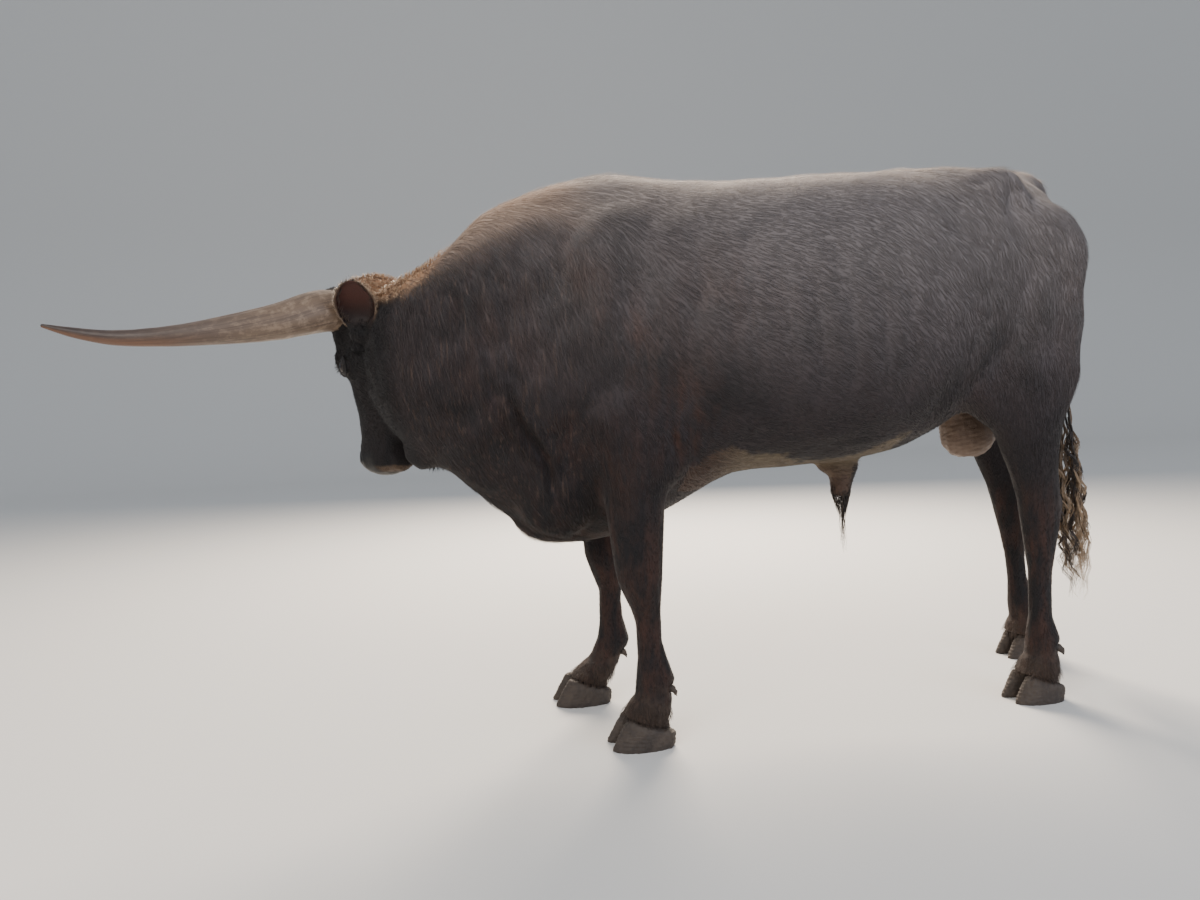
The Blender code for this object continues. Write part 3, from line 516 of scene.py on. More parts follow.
BODY_FOLDS = (
    # The long crease in front of the shoulder, down to the brisket
    Fold(((-0.243, -0.220, 0.892), (-0.209, -0.204, 0.809), (-0.151, -0.182, 0.721), (-0.126, -0.170, 0.621)),
         0.018, 0.011),
    Fold(((-0.290, -0.210, 0.960), (-0.262, -0.215, 0.860), (-0.225, -0.200, 0.760)), 0.010, 0.012),
    # Muscle lines of the shoulder
    Fold(((-0.096, -0.209, 1.219), (-0.074, -0.258, 1.095), (-0.045, -0.268, 0.977), (-0.023, -0.254, 0.860)),
         0.009, 0.034),
    Fold(((0.065, -0.230, 1.260), (0.075, -0.265, 1.180), (0.100, -0.276, 1.043)), 0.005, 0.034, 0.1),
    Fold(((0.250, -0.265, 1.230), (0.225, -0.290, 1.080), (0.195, -0.270, 0.930), (0.160, -0.258, 0.760)),
         0.011, 0.034),
    # Loose skin behind the elbow
    Fold(((0.155, -0.262, 0.790), (0.165, -0.262, 0.735), (0.178, -0.240, 0.690)), 0.008, 0.009),
    Fold(((0.185, -0.272, 0.800), (0.196, -0.262, 0.745), (0.212, -0.235, 0.705)), 0.006, 0.009),
    Fold(((0.215, -0.280, 0.800), (0.228, -0.270, 0.760), (0.245, -0.250, 0.730)), 0.004, 0.009),
    # The fold of the flank and the front of the thigh
    Fold(((0.945, -0.300, 1.000), (0.915, -0.285, 0.900), (0.867, -0.279, 0.835), (0.815, -0.235, 0.762)),
         0.007, 0.026),
    Fold(((0.900, -0.310, 0.950), (0.865, -0.300, 0.880), (0.815, -0.285, 0.820)), 0.003, 0.016),
    # The hollow in front of the hip bone, the one behind it and the split between the thigh muscles
    Fold(((0.905, -0.250, 1.360), (0.915, -0.295, 1.270), (0.935, -0.325, 1.150)), 0.008, 0.055, 0.2),
    Fold(((1.110, -0.235, 1.350), (1.135, -0.255, 1.280), (1.160, -0.275, 1.180)), 0.007, 0.045, 0.2),
    Fold(((1.205, -0.250, 1.240), (1.213, -0.268, 1.070), (1.181, -0.268, 0.916), (1.161, -0.262, 0.813)),
         0.008, 0.026),
    # The hip bone, the ridge of the rump down to the tail and the lit edge behind the hip
    Fold(((0.900, -0.235, 1.395), (0.970, -0.250, 1.400), (1.070, -0.240, 1.385)), 0.012, 0.030, 0.0),
    Fold(((0.880, -0.140, 1.430), (0.950, -0.150, 1.440), (1.030, -0.150, 1.430)), -0.010, 0.045, 0.0),
    Fold(((1.060, -0.190, 1.420), (1.090, -0.235, 1.350), (1.105, -0.265, 1.260)), 0.009, 0.024, 0.6),
    Fold(((1.050, 0.0, 1.440), (1.140, 0.0, 1.435), (1.230, 0.0, 1.420)), -0.008, 0.034, 0.2, False, False),
    Fold(((1.270, 0.0, 1.395), (1.320, 0.0, 1.375), (1.365, 0.0, 1.340)), -0.020, 0.034, 0.0, False, False),
    # The seam down the middle of the scrotum
    Fold(((1.035, 0.0, 0.800), (1.050, 0.0, 0.700), (1.100, 0.0, 0.655), (1.150, 0.0, 0.700),
          (1.160, 0.0, 0.780)),
         0.006, 0.010, 0.4, False, False),
)

RIB_FOLDS = tuple(
    Fold(((x - 0.02, -0.33, 1.20), (x, -0.368, 1.05), (x + 0.01, -0.365, 0.90), (x - 0.01, -0.31, 0.79)),
         0.0028, 0.017)
    for x in (0.33, 0.41, 0.49, 0.57, 0.65, 0.73)
)

NECK_FOLDS = tuple(
    Fold(((x, -0.19, top), (x + 0.02, -0.235, top - 0.14), (x + 0.05, -0.235, top - 0.32)), depth, 0.012)
    for x, top, depth in (
        (-0.400, 1.10, 0.003), (-0.355, 1.16, 0.004), (-0.310, 1.20, 0.003), (-0.262, 1.24, 0.004),
        (-0.205, 1.25, 0.003),
    )
)

HEAD_FOLDS = (
    # Upper lid crease, brow wrinkles and the pouch under the eye
    Fold(((0.150, 0.100, -0.030), (0.165, 0.121, -0.020), (0.190, 0.122, -0.019), (0.212, 0.110, -0.030)),
         0.0036, 0.0036, 0.4, True),
    Fold(((0.138, 0.104, -0.022), (0.155, 0.120, -0.010), (0.185, 0.118, -0.006)), 0.0036, 0.0040, 0.5, True),
    Fold(((0.150, 0.105, -0.066), (0.172, 0.121, -0.072), (0.200, 0.118, -0.072), (0.222, 0.104, -0.062)),
         0.0026, 0.0034, 0.4, True),
    Fold(((0.160, 0.108, -0.084), (0.190, 0.118, -0.088), (0.225, 0.102, -0.080)), 0.0022, 0.0045, 0.4, True),
    # Cheek muscle, jaw line and the wrinkles behind the corner of the mouth
    Fold(((0.215, 0.095, -0.110), (0.240, 0.080, -0.140), (0.235, 0.070, -0.175)), 0.006, 0.016, 0.3, True),
    Fold(((0.090, 0.110, -0.190), (0.150, 0.105, -0.215), (0.215, 0.075, -0.215)), 0.005, 0.012, 0.3, True),
    Fold(((0.352, 0.066, -0.095), (0.340, 0.066, -0.115), (0.342, 0.058, -0.132)), 0.0032, 0.0050, 0.4, True),
    Fold(((0.335, 0.069, -0.088), (0.322, 0.069, -0.110), (0.322, 0.060, -0.130)), 0.0022, 0.0050, 0.4, True),
    # The wing of the nostril and the groove over the upper lip
    Fold(((0.395, 0.052, -0.012), (0.402, 0.066, -0.030), (0.425, 0.070, -0.048), (0.448, 0.052, -0.056)),
         0.0030, 0.0040, 0.4, True),
    Fold(((0.380, 0.048, -0.008), (0.386, 0.066, -0.030), (0.396, 0.070, -0.050)), 0.0018, 0.0035, 0.4, True),
    Fold(((0.455, 0.0, -0.030), (0.468, 0.0, -0.055), (0.470, 0.0, -0.085)), 0.0025, 0.0030, 0.4, True,
         False),
)


@dataclass
class Hide:
    """The skin: one surface over all the nodes of flesh, sunk by the depth of the coat."""

    voxel: float = 0.004
    triangles: int = 168_000
    trunk_rounds: int = 36
    croup_rounds: int = 260
    join: float = 0.0004
    sheath_end: float = 0.562
    trunk_depth: float = 0.0065
    neck_depth: float = 0.0080
    leg_depth: float = 0.0030
    face_depth: float = 0.0020
    bare_depth: float = 0.0004
    # Height of the muscles' waves and of the scrotum's wrinkles, and how far the eye sockets sink, in metres
    muscle_wave: float = 0.0016
    wrinkle: float = 0.0011
    socket: float = 0.0035
    # How far the skin swells over the hooves, and how far the front of the sheath and the dock are drawn in
    coronet_swell: float = 0.0065
    sheath_draw: float = 0.030
    dock: tuple = (1.345, 0.0, 1.390)
    dock_size: tuple = (0.055, 0.075, 0.055)
    dock_draw: tuple = (0.020, 0.0, 0.016)
    # How much of its way a point goes in one round of smoothing, on the trunk, on bare bags and on fine parts
    trunk_pace: float = 0.62
    bag_pace: float = 0.40
    fine_pace: float = 0.05
    mesh: Mesh = field(init=False)

    def build(self, finish: Material) -> Object:
        """Makes the skin and puts it in place of the flesh nodes.

        Args:
            finish: The hide's material.

        Returns:
            The skin object.
        """
        mesh = self.thin(self.shape(self.remesh()))
        self.join_shells(mesh)
        self.mark(mesh)
        self.mesh = mesh
        obj = put_in_scene("hide", mesh, finish)
        self.unwrap(obj)
        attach(obj, BODY)
        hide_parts(*FLESH)
        log.info("hide: %d faces", len(mesh.polygons))
        return obj

    def remesh(self) -> Mesh:
        """The nodes of flesh as one closed surface of even faces.

        Returns:
            The surface in the animal's own coordinates.
        """
        solid = [name for name in FLESH if not name.startswith("ear")]
        rough = bpy.data.objects.new("flesh", node_copy(solid, self.join, {"sheath": self.sheath_end}))
        bpy.context.scene.collection.objects.link(rough)
        even = rough.modifiers.new("even", "REMESH")
        even.mode = "VOXEL"
        even.voxel_size = self.voxel
        mesh = evaluated_mesh(rough)
        mesh.transform(Matrix.Translation(-SHIFT))
        return mesh

    @staticmethod
    def regions(own: np.ndarray) -> dict[str, np.ndarray]:
        """How much each point belongs to the parts of the animal.

        Args:
            own: Points in the animal's own coordinates.

        Returns:
            Shares from 0 to 1 by name.
        """
        h = in_head(own)
        head = ramp(h[:, 2], -0.27, -0.20) * ramp(own[:, 0], -0.40, -0.46)
        ears = np.max([ear.near(h) for ear in EARS], axis=0)
        legs = ramp(own[:, 2], 0.70, 0.56)
        legs *= 1 - ramp(own[:, 2], 0.44, 0.50) * ramp(own[:, 0], -0.02, -0.06)
        nose = ramp(h[:, 0], 0.398, 0.420) * ramp(h[:, 2], -0.100, -0.088) * head
        return {
            "head": head,
            "ears": ears,
            "legs": legs,
            "neck": ramp(own[:, 0], 0.10, -0.10) * (1 - head) * (1 - legs),
            "tail": ramp(own[:, 0], 1.335, 1.360) * ramp(np.abs(own[:, 1]), 0.09, 0.06),
            "nose": nose,
            "scrotum": ramp(near_path(own, ((1.10, 0, 0.90), (1.10, 0, 0.72)))[0], 0.125, 0.100)
            * ramp(own[:, 2], 0.93, 0.87)
            * ramp(np.abs(own[:, 1]), 0.10, 0.08),
            "sheath": ramp(near_path(own, ((0.69, 0, 0.66), (0.704, 0, 0.50)))[0], 0.09, 0.06)
            * ramp(own[:, 2], 0.68, 0.63),
        }

    def shape(self, mesh: Mesh) -> Mesh:
        """Smooths the facets away, sinks the surface by the coat's depth and presses in the folds.

        Args:
            mesh: The mesh.

        Returns:
            The mesh.
        """
        own = read_points(mesh)
        net = Net(mesh)
        part = self.regions(own)
        fine = np.max([part["head"], part["ears"], part["legs"], part["tail"], part["scrotum"],
            part["sheath"]], axis=0)
        pace = self.trunk_pace * (1 - fine) + self.fine_pace * fine
        pace = np.maximum(pace, self.bag_pace * np.maximum(part["scrotum"], part["sheath"]))
        net.relax(own, pace, self.trunk_rounds)
        croup = ramp(own[:, 0], 0.86, 0.98) * ramp(own[:, 2], 1.20, 1.30)
        croup *= 1 - part["tail"] * ramp(own[:, 2], 1.345, 1.310)
        net.relax(own, self.trunk_pace * croup, self.croup_rounds)
        own = self.press(mesh, own, part)
        for _ in range(2):
            own += 0.3 * (net.mean(own) - own) * (1 - fine[:, None])
        write_points(mesh, own)
        return mesh

    def press(self, mesh: Mesh, own: np.ndarray, part: dict[str, np.ndarray]) -> np.ndarray:
        """The points moved in by the coat's depth and by the folds.

        Args:
            mesh: The mesh.
            own: Points in the animal's own coordinates.
            part: Their regions, as shares by name.

        Returns:
            The moved points.
        """
        write_points(mesh, own)
        normals = read_normals(mesh)
        depth = np.full(len(own), self.trunk_depth)
        for name, size in (
            ("neck", self.neck_depth), ("legs", self.leg_depth), ("head", self.face_depth),
            ("ears", self.bare_depth), ("tail", self.leg_depth), ("scrotum", self.bare_depth),
            ("sheath", self.leg_depth), ("nose", self.bare_depth),
        ):
            depth += part[name] * (size - depth)
        trunk = (1 - part["head"]) * (1 - part["legs"])
        depth += self.muscle_wave * ripple(own, 0.10, 3) * trunk
        depth += self.wrinkle * ripple(own * (1.0, 1.0, 1.8), 0.022, 5) * part["scrotum"]
        depth += self.socket * ramp(eye_gap(in_head(own)), 0.036, 0.024)
        depth -= self.coronet_swell * ramp(own[:, 2], 0.128, 0.104) * ramp(own[:, 2], 0.060, 0.080)
        for fold in (*BODY_FOLDS, *RIB_FOLDS, *NECK_FOLDS, *HEAD_FOLDS):
            depth += fold.press(own)
        own = own - normals * depth[:, None]
        near_dock = np.exp(-(((own - self.dock) / self.dock_size) ** 2).sum(1))
        own -= near_dock[:, None] * self.dock_draw
        front = part["sheath"] * ramp(own[:, 0], 0.70, 0.62)
        front = front * ramp(own[:, 2], 0.56, 0.60) * ramp(own[:, 2], 0.650, 0.615)
        own[:, 0] += self.sheath_draw * front
        return own

    def thin(self, mesh: Mesh) -> Mesh:
        """The surface with fewer faces, fewest on the trunk, and only its largest closed part.

        Args:
            mesh: The mesh.

        Returns:
            The lighter mesh.
        """
        own = read_points(mesh)
        part = self.regions(own)
        share = np.full(len(own), 1.0)
        share[part["legs"] > 0.5] = 0.8
        share[np.maximum(part["head"], part["ears"]) > 0.4] = 0.4
        obj = put_in_scene("thinned", mesh)
        group = obj.vertex_groups.new(name="share")
        for level in np.unique(share):
            group.add(np.nonzero(share == level)[0].tolist(), float(level), "REPLACE")
        fewer = obj.modifiers.new("fewer", "DECIMATE")
        fewer.ratio = self.triangles / (2 * len(mesh.polygons))
        fewer.vertex_group = "share"
        fewer.vertex_group_factor = 2e-5
        made = evaluated_mesh(obj)
        keep = Net(made).largest()
        whole = bmesh.new()
        whole.from_mesh(made)
        bmesh.ops.delete(whole, geom=[v for v in whole.verts if not keep[v.index]], context="VERTS")
        bmesh.ops.triangulate(whole, faces=whole.faces)
        whole.to_mesh(made)
        whole.free()
        return made

    @staticmethod
    def join_shells(mesh: Mesh) -> None:
        """Adds the shells of the ears and the rolls of the lids to the skin.

        Args:
            mesh: The mesh.
        """
        whole = bmesh.new()
        whole.from_mesh(mesh)
        for single in (EarShells().build(), Lids().build()):
            whole.from_mesh(single)
            bpy.data.meshes.remove(single)
        whole.to_mesh(mesh)
        whole.free()

    def mark(self, mesh: Mesh) -> None:
        """Stores markings, lie and zones of the coat on the skin, then moves it into the model's place.

        Args:
            mesh: The mesh.
        """
        own = read_points(mesh)
        normals = read_normals(mesh)
        part = self.regions(own)
        for name, values in Markings.fields(own, normals, part).items():
            write_field(mesh, name, values)
        lie = CoatLie.direction(own, normals, part, Net(mesh))
        write_field(mesh, "lie", lie, "FLOAT_VECTOR")
        write_field(mesh, "coat_length", CoatLie.length(own, normals, part))
        write_field(mesh, "coat_thickness", CoatLie.thickness(own, normals, part))
        write_field(mesh, "fluff", CoatLie.fluff(own, normals, part))
        corners = read_all(mesh.loops, "vertex_index", whole=True)
        centres = own[corners.reshape(-1, 3)].mean(1)
        write_field(mesh, "coat_zone", CoatLie.zone(centres), "INT", "FACE")
        mesh.transform(Matrix.Translation(SHIFT))

    @staticmethod
    def unwrap(obj: Object) -> None:
        """Unwraps the skin into islands that don't overlap.

        Args:
            obj: The object.
        """
        bpy.context.view_layer.objects.active = obj
        obj.select_set(True)
        bpy.ops.object.mode_set(mode="EDIT")
        bpy.ops.mesh.select_all(action="SELECT")
        bpy.ops.uv.smart_project(angle_limit=math.radians(66), island_margin=0.0)
        bpy.ops.object.mode_set(mode="OBJECT")
        obj.select_set(False)
        obj.data.uv_layers[0].name = "OFBake"


@dataclass(frozen=True)
class EarPose:
    """Where an ear grows and how it is held, in head coordinates."""

    side: Side
    root: np.ndarray
    axis: np.ndarray
    opening: np.ndarray
    length: float = 0.154

    @property
    def tip(self) -> np.ndarray:
        """The end of the ear."""
        return self.root + self.axis * self.length

    def apart(self, h: np.ndarray) -> np.ndarray:
        """How far points lie from the ear's middle line, as a share of its half width there.

        Args:
            h: Points in head coordinates.

        Returns:
            The shares.
        """
        along, rows = (h - self.root) @ self.axis, np.array(EarShells.rows)
        half = np.interp(along, rows[:, 0], rows[:, 1])
        return np.abs((h - self.root) @ np.cross(self.axis, self.opening)) / half

    def near(self, h: np.ndarray) -> np.ndarray:
        """How much points of head coordinates belong to this ear, from 0 to 1.

        Args:
            h: Points in head coordinates.

        Returns:
            The shares.
        """
        along = (h - self.root) @ self.axis
        across, deep = (h - self.root) @ np.cross(self.axis, self.opening), (h - self.root) @ self.opening
        width = np.interp(along, (0.0, 0.03, 0.064, 0.110, 0.132, 0.160),
            (0.027, 0.031, 0.048, 0.050, 0.040, 0.020))
        gap = np.hypot(across / width, (deep - 0.10 * along) / 0.036)
        return ramp(gap, 1.30, 1.12) * ramp(along, 0.004, 0.022) * ramp(along, 0.175, 0.165)

    def inside(self, h: np.ndarray, turned: np.ndarray) -> np.ndarray:
        """How much points belong to the hollow of the ear, from their normals in head coordinates."""
        share = self.near(h) * ramp(turned @ self.opening, -0.05, 0.30) * ramp(self.apart(h), 1.03, 0.97)
        return share * ramp((h - self.root) @ self.axis, 0.028, 0.048)


def ear_pose(side: Side, root: tuple, axis: tuple, opening: tuple) -> EarPose:
    """An ear whose opening is squared to its axis.

    Args:
        side: Which side.
        root: Where it grows.
        axis: The way to its tip.
        opening: The way that its hollow faces.

    Returns:
        The ear.
    """
    axis = unit(np.array(axis, float))
    opening = np.array(opening, float)
    return EarPose(side, np.array(root, float), axis, unit(opening - axis * (opening @ axis)))


EARS = (
    ear_pose(Side.LEFT, (0.118, 0.100, -0.108), (-0.880, 0.337, -0.300), (0.380, 0.642, -0.591)),
    ear_pose(Side.RIGHT, (0.128, -0.100, -0.090), (-0.150, -0.960, -0.150), (0.300, -0.100, 0.950)),
)


@dataclass
class EarShells:
    """Both ears as thin cupped shells, flared where they leave the head."""

    rows: tuple = (
        # along, half width, half depth, hollow
        (-0.026, 0.034, 0.030, -0.98), (-0.010, 0.024, 0.022, -0.95), (0.010, 0.024, 0.023, -0.90),
        (0.028, 0.029, 0.027, -0.50), (0.044, 0.037, 0.029, 0.30), (0.064, 0.0455, 0.029, 0.70),
        (0.086, 0.050, 0.027, 0.78), (0.110, 0.047, 0.022, 0.76), (0.132, 0.035, 0.015, 0.66),
        (0.147, 0.021, 0.009, 0.45), (0.1545, 0.007, 0.005, -0.30),
    )
    between: int = 5
    half: int = 34

    def build(self) -> Mesh:
        """Both shells in one mesh, in the animal's own coordinates."""
        return merged([ring_mesh(self.rings(ear)) for ear in EARS], "ears")

    def rings(self, ear: EarPose) -> np.ndarray:
        """The rings of one shell, from its root to its tip.

        Args:
            ear: Which ear.

        Returns:
            Array of rings by points by 3.
        """
        across = np.cross(ear.axis, ear.opening)
        angle = np.linspace(0, math.pi, self.half)
        made = []
        for along, width, depth, hollow in smooth_rows(self.rows, self.between, 1):
            wave = 1 + 0.02 * math.sin(along * 90)
            centre = ear.root + ear.axis * along + ear.opening * 0.10 * along
            outer = (centre + np.outer(np.cos(angle), across) * width * wave
                     - np.outer(np.sin(angle), ear.opening) * depth)
            back = angle[::-1]
            inner = centre + np.outer(np.cos(back), across) * (width * wave - min(0.0035, 0.2 * width))
            inner -= np.outer(np.sin(back) ** 0.8, ear.opening) * depth * hollow
            made.append(from_head(np.concatenate([outer, inner])))
        return np.array(made)


@dataclass
class Lids:
    """The lids of both eyes: closed rolls of skin round an almond opening, sunk into the face."""

    # Half angles of the opening seen from the middle of the eye, in degrees
    corner: float = 46
    upper: float = 25
    lower: float = 32
    outer: float = 72
    rim: float = 0.0209
    outside: float = 0.0217
    spread: float = 0.0078
    # Height of the roll, depth of the upper lid's crease and radius of the hidden back, in metres
    roll: float = 0.0011
    crease: float = 0.0009
    back: float = 0.0194
    steps: int = 72
    front_steps: int = 10
    back_steps: int = 4

    @staticmethod
    def frame(side: Side) -> tuple[np.ndarray, np.ndarray, np.ndarray, np.ndarray]:
        """The middle of an eye, its gaze, and the ways to its front corner and to the brow.

        Args:
            side: Which side.

        Returns:
            The middle and the three directions.
        """
        gaze = unit(np.array((0.10, side.value, 0.25)))
        front = unit(np.array((1.0, 0, 0)) - gaze * gaze[0])
        return np.array(EYE_AT) * (1, side.value, 1), gaze, front, np.cross(front, gaze) * side.value

    def opening(self, turn: np.ndarray) -> np.ndarray:
        """How far from the gaze the lids begin, at angles from the front corner to the brow.

        Args:
            turn: The angles, in radians.

        Returns:
            The angles where the lids begin.
        """
        along, up = np.abs(np.cos(turn)), np.sin(turn)
        tall = np.where(up > 0, self.upper, self.lower)
        return np.radians(((along / self.corner) ** 1.7 + (np.abs(up) / tall) ** 1.7) ** (-1 / 1.7))

    def place(self, side: Side, turn: np.ndarray, away: np.ndarray, radius: np.ndarray) -> np.ndarray:
        """Points round an eye in head coordinates.

        Args:
            side: Which side.
            turn: The angles, in radians.
            away: Angles from the gaze, in radians.
            radius: How far from the middle of the eye, in metres.

        Returns:
            The points.
        """
        middle, gaze, front, brow = self.frame(side)
        level = np.cos(turn)[..., None] * front + np.sin(turn)[..., None] * brow
        return middle + radius[..., None] * (np.cos(away)[..., None] * gaze + np.sin(away)[..., None] * level)

    def build(self) -> Mesh:
        """Both eyes' lids in one mesh, in the animal's own coordinates.

        Returns:
            The mesh.
        """
        turn = np.repeat(np.linspace(0, 2 * math.pi, self.steps, endpoint=False)[:, None],
                         self.front_steps + self.back_steps, 1)
        t = np.concatenate([np.linspace(0, 1, self.front_steps), np.linspace(1, 0, self.back_steps)])[None, :]
        start = self.opening(turn)
        edge = math.radians(self.outer) - (math.radians(self.corner) - start) * 0.55
        away = start + (edge - start) * t
        radius = self.outside + self.roll * np.sin(math.pi * np.minimum(t / 0.5, 1)) + self.spread * t**2.2
        radius = radius - self.crease * np.exp(-(((t - 0.5) / 0.10) ** 2)) * (np.sin(turn) > 0)
        radius[:, 0] = self.rim
        radius[:, self.front_steps:] = self.back
        made = []
        for side in Side:
            points = from_head(self.place(side, turn, away, radius).reshape(-1, 3))
            index = np.arange(len(points)).reshape(turn.shape)
            right, up = np.roll(index, -1, 0), np.roll(index, -1, 1)
            quads = np.stack([index, right, np.roll(right, -1, 1), up], -1).reshape(-1, 4)
            single = bpy.data.meshes.new("lids")
            single.from_pydata(points.tolist(), [], quads.tolist())
            made.append(single)
        return merged(made, "lids")


class Markings:
    """The pattern that skin and coat share, as smooth fields over the body, with painted highlights and
    painted shade among them.
    """

    # Middle (along, up), half size and strength of the redder patches on each side
    patches = (
        (-0.063, 1.215, 0.030, 0.085, 0.7), (0.073, 0.996, 0.035, 0.080, 0.7),
        (0.176, 0.804, 0.045, 0.085, 1.0),
        (-0.270, 1.032, 0.070, 0.170, 0.3), (-0.115, 0.768, 0.040, 0.060, 0.5),
        (-0.017, 1.092, 0.025, 0.080, 0.5),
        (0.300, 1.120, 0.100, 0.090, 0.5), (0.020, 0.690, 0.045, 0.080, 0.5),
        (1.000, 0.960, 0.040, 0.080, 0.4),
        (1.290, 1.020, 0.045, 0.140, 0.6),
    )
    belly_edge = (
        (0.150, 0.560), (0.177, 0.600), (0.201, 0.680), (0.223, 0.699), (0.250, 0.723), (0.286, 0.733),
        (0.324, 0.729), (0.361, 0.711), (0.450, 0.703), (0.521, 0.679), (0.631, 0.681), (0.696, 0.697),
        (0.726, 0.722), (0.790, 0.745),
    )

    @classmethod
    def fields(
        cls, own: np.ndarray, normals: np.ndarray, part: dict[str, np.ndarray]
    ) -> dict[str, np.ndarray]:
        """The values that the hide's and the coat's materials read.

        Args:
            own: Points in the animal's own coordinates.
            normals: Their normals.
            part: Their regions.

        Returns:
            Fields by name: cream and bare as signed distances in metres, the others from 0 to 1.
        """
        x, y, z = own.T
        h = in_head(own)
        edge = np.interp(x, *np.array(cls.belly_edge).T)
        cream = np.minimum(np.minimum(edge - z, x - 0.165), 0.785 - x)
        legs_in_way = ramp(z, 0.64, 0.60)
        rear = part["sheath"] * ramp(x, 0.712, 0.732)
        cream = np.where(np.maximum(legs_in_way, rear) > 0.5, -0.05, cream)
        lip = np.minimum(np.minimum(h[:, 0] - 0.441, -0.076 - h[:, 2]), h[:, 2] + 0.150)
        lip = lip * part["head"] - 0.05 * (1 - part["head"])
        lids = ramp(eye_gap(h), 0.0262, 0.0230)
        bowl = np.zeros(len(own))
        rim = np.zeros(len(own))
        turned = normals @ TO_HEAD[:3, :3].T
        for ear in EARS:
            along = (h - ear.root) @ ear.axis
            bowl = np.maximum(bowl, ear.inside(h, turned))
            edge = ramp(ear.apart(h), 0.90, 0.99) * ramp(ear.apart(h), 1.12, 1.05)
            rim = np.maximum(rim, ear.near(h) * edge * ramp(along, 0.045, 0.080))
        cap = ramp(near_path(h, ((0.00, 0.0, -0.03), (-0.03, 0.02, -0.12), (-0.05, 0.02, -0.20)))[0],
                   0.120, 0.060)
        cap *= ramp(own[:, 0], -0.30, -0.42) * ramp(h[:, 0], 0.060, 0.010)
        # Painted highlight: pale tan where the hair faces up along the topline, where the back light falls
        crest = ramp(normals[:, 2], 0.36, 0.90) * ramp(z, 1.10, 1.30) * ramp(np.abs(y), 0.30, 0.07)
        crest = crest * (1 - part["head"])
        crest *= 0.70 + 0.30 * ramp(x, -0.05, 0.35)
        russet = 0.10 * part["neck"] + 0.62 * ramp(z, 0.66, 0.45) + 0.08
        for along, up, wide, high, strength in cls.patches:
            patch = np.exp(-0.5 * (((x - along) / wide) ** 2 + ((z - up) / high) ** 2))
            russet += strength * patch * (1 - part["head"])
        mane = 0.75 * part["neck"] * ramp(x, 0.05, -0.12)
        return {
            "cream": cream,
            "thin": ramp(x, 0.40, 0.24),
            "mane": mane,
            # Painted highlight on the top of the neck, in the tan of the poll hair
            "ruff": crest * mane,
            # Near-black towards the ears' roots: partly their dark hair, partly painted shade in the depth of
            # the ear
            "ear_root": np.max([ear.near(h) * ramp((h - ear.root) @ ear.axis, 0.115, 0.045)
                for ear in EARS], axis=0),
            # The head near-black: its own dark colour, deepened as painted shade; the sheath's rear edge dark
            # as well
            "dark": np.maximum(part["head"], rear),
            # Painted light: the upper body paler and greyer with height, as haze of the back light over the
            # top of the coat
            "hazy": ramp(z, 0.74, 1.42) * (1 - part["head"])
            * (0.16 + 0.40 * ramp(x, -0.45, 0.0) + 0.40 * ramp(x, 0.1, 0.45)),
            "lip": lip,
            "bare": np.max([part["nose"], lids, 0.85 * part["scrotum"], 0.7 * bowl], axis=0),
            "nose": part["nose"],
            "lids": lids,
            "bowl": bowl,
            "rim": np.clip(rim, 0, 1),
            "cap": cap,
            "crest": crest,
            "russet": np.clip(russet, 0, 1),
            "scrotum": part["scrotum"],
            "sheath": part["sheath"] * (1 - 0.9 * rear),
        }


@dataclass(frozen=True)
class LieMark:
    """A place on the body and which way the hair runs there."""

    place: tuple
    way: tuple
    reach: float = 0.18
    on_head: bool = False


LIE_MARKS = (
    LieMark((0.06, 0.0, 1.45), (1, 0, 0)),
    LieMark((0.50, 0.0, 1.44), (1, 0, 0)),
    LieMark((0.90, 0.0, 1.46), (1, 0, -0.05)),
    LieMark((1.15, 0.0, 1.45), (1, 0, -0.2), 0.10),
    LieMark((1.08, 0.16, 1.42), (0.6, 0.5, -0.6), 0.10),
    LieMark((1.32, 0.0, 1.38), (0.4, 0, -1), 0.10),
    LieMark((-0.20, 0.0, 1.38), (1, 0, 0.3), 0.12),
    LieMark((-0.40, -0.03, 1.22), (1, 0, 0.3), 0.10),
    LieMark((0.02, 0.25, 1.15), (0.45, 0, -1)),
    LieMark((-0.22, 0.20, 1.15), (0.22, 0, -1)),
    LieMark((-0.38, 0.17, 1.02), (0.25, 0, -1)),
    LieMark((-0.20, 0.16, 0.72), (0.35, 0, -1)),
    LieMark((-0.10, 0.0, 0.50), (1, 0, -0.2), 0.12),
    LieMark((0.35, 0.30, 1.22), (1, 0, -0.45)),
    LieMark((0.45, 0.36, 1.00), (1, 0, -0.65)),
    LieMark((0.50, 0.30, 0.76), (1, 0, -0.35)),
    LieMark((0.50, 0.0, 0.66), (1, 0, 0)),
    LieMark((0.82, 0.34, 1.05), (0.8, 0, -0.7)),
    LieMark((0.85, 0.28, 0.82), (0.6, 0, -0.8), 0.12),
    LieMark((1.00, 0.26, 1.28), (0.40, 0, -0.9)),
    LieMark((1.15, 0.26, 1.05), (0.15, 0, -1)),
    LieMark((1.15, 0.22, 0.75), (0.15, 0, -1)),
    LieMark((0.10, 0.20, 0.45), (0.1, 0, -1)),
    LieMark((1.20, 0.20, 0.40), (0.1, 0, -1)),
    LieMark((-0.36, 0.0, 0.85), (0.1, 0, -1), 0.12),
    LieMark((0.06, 0.0, 0.02), (1, 0, 0), 0.08, True),
    LieMark((0.25, 0.0, 0.0), (1, 0, 0), 0.10, True),
    LieMark((0.14, 0.10, -0.13), (0.35, 0, -1), 0.08, True),
    LieMark((0.28, 0.06, -0.14), (-0.1, 0, -1), 0.08, True),
    LieMark((0.18, 0.10, -0.02), (0.2, 0.5, -1), 0.04, True),
    LieMark((0.42, 0.0, -0.02), (1, 0, -0.3), 0.06, True),
    LieMark((0.02, 0.09, -0.15), (0.6, 0, -1), 0.07, True),
)


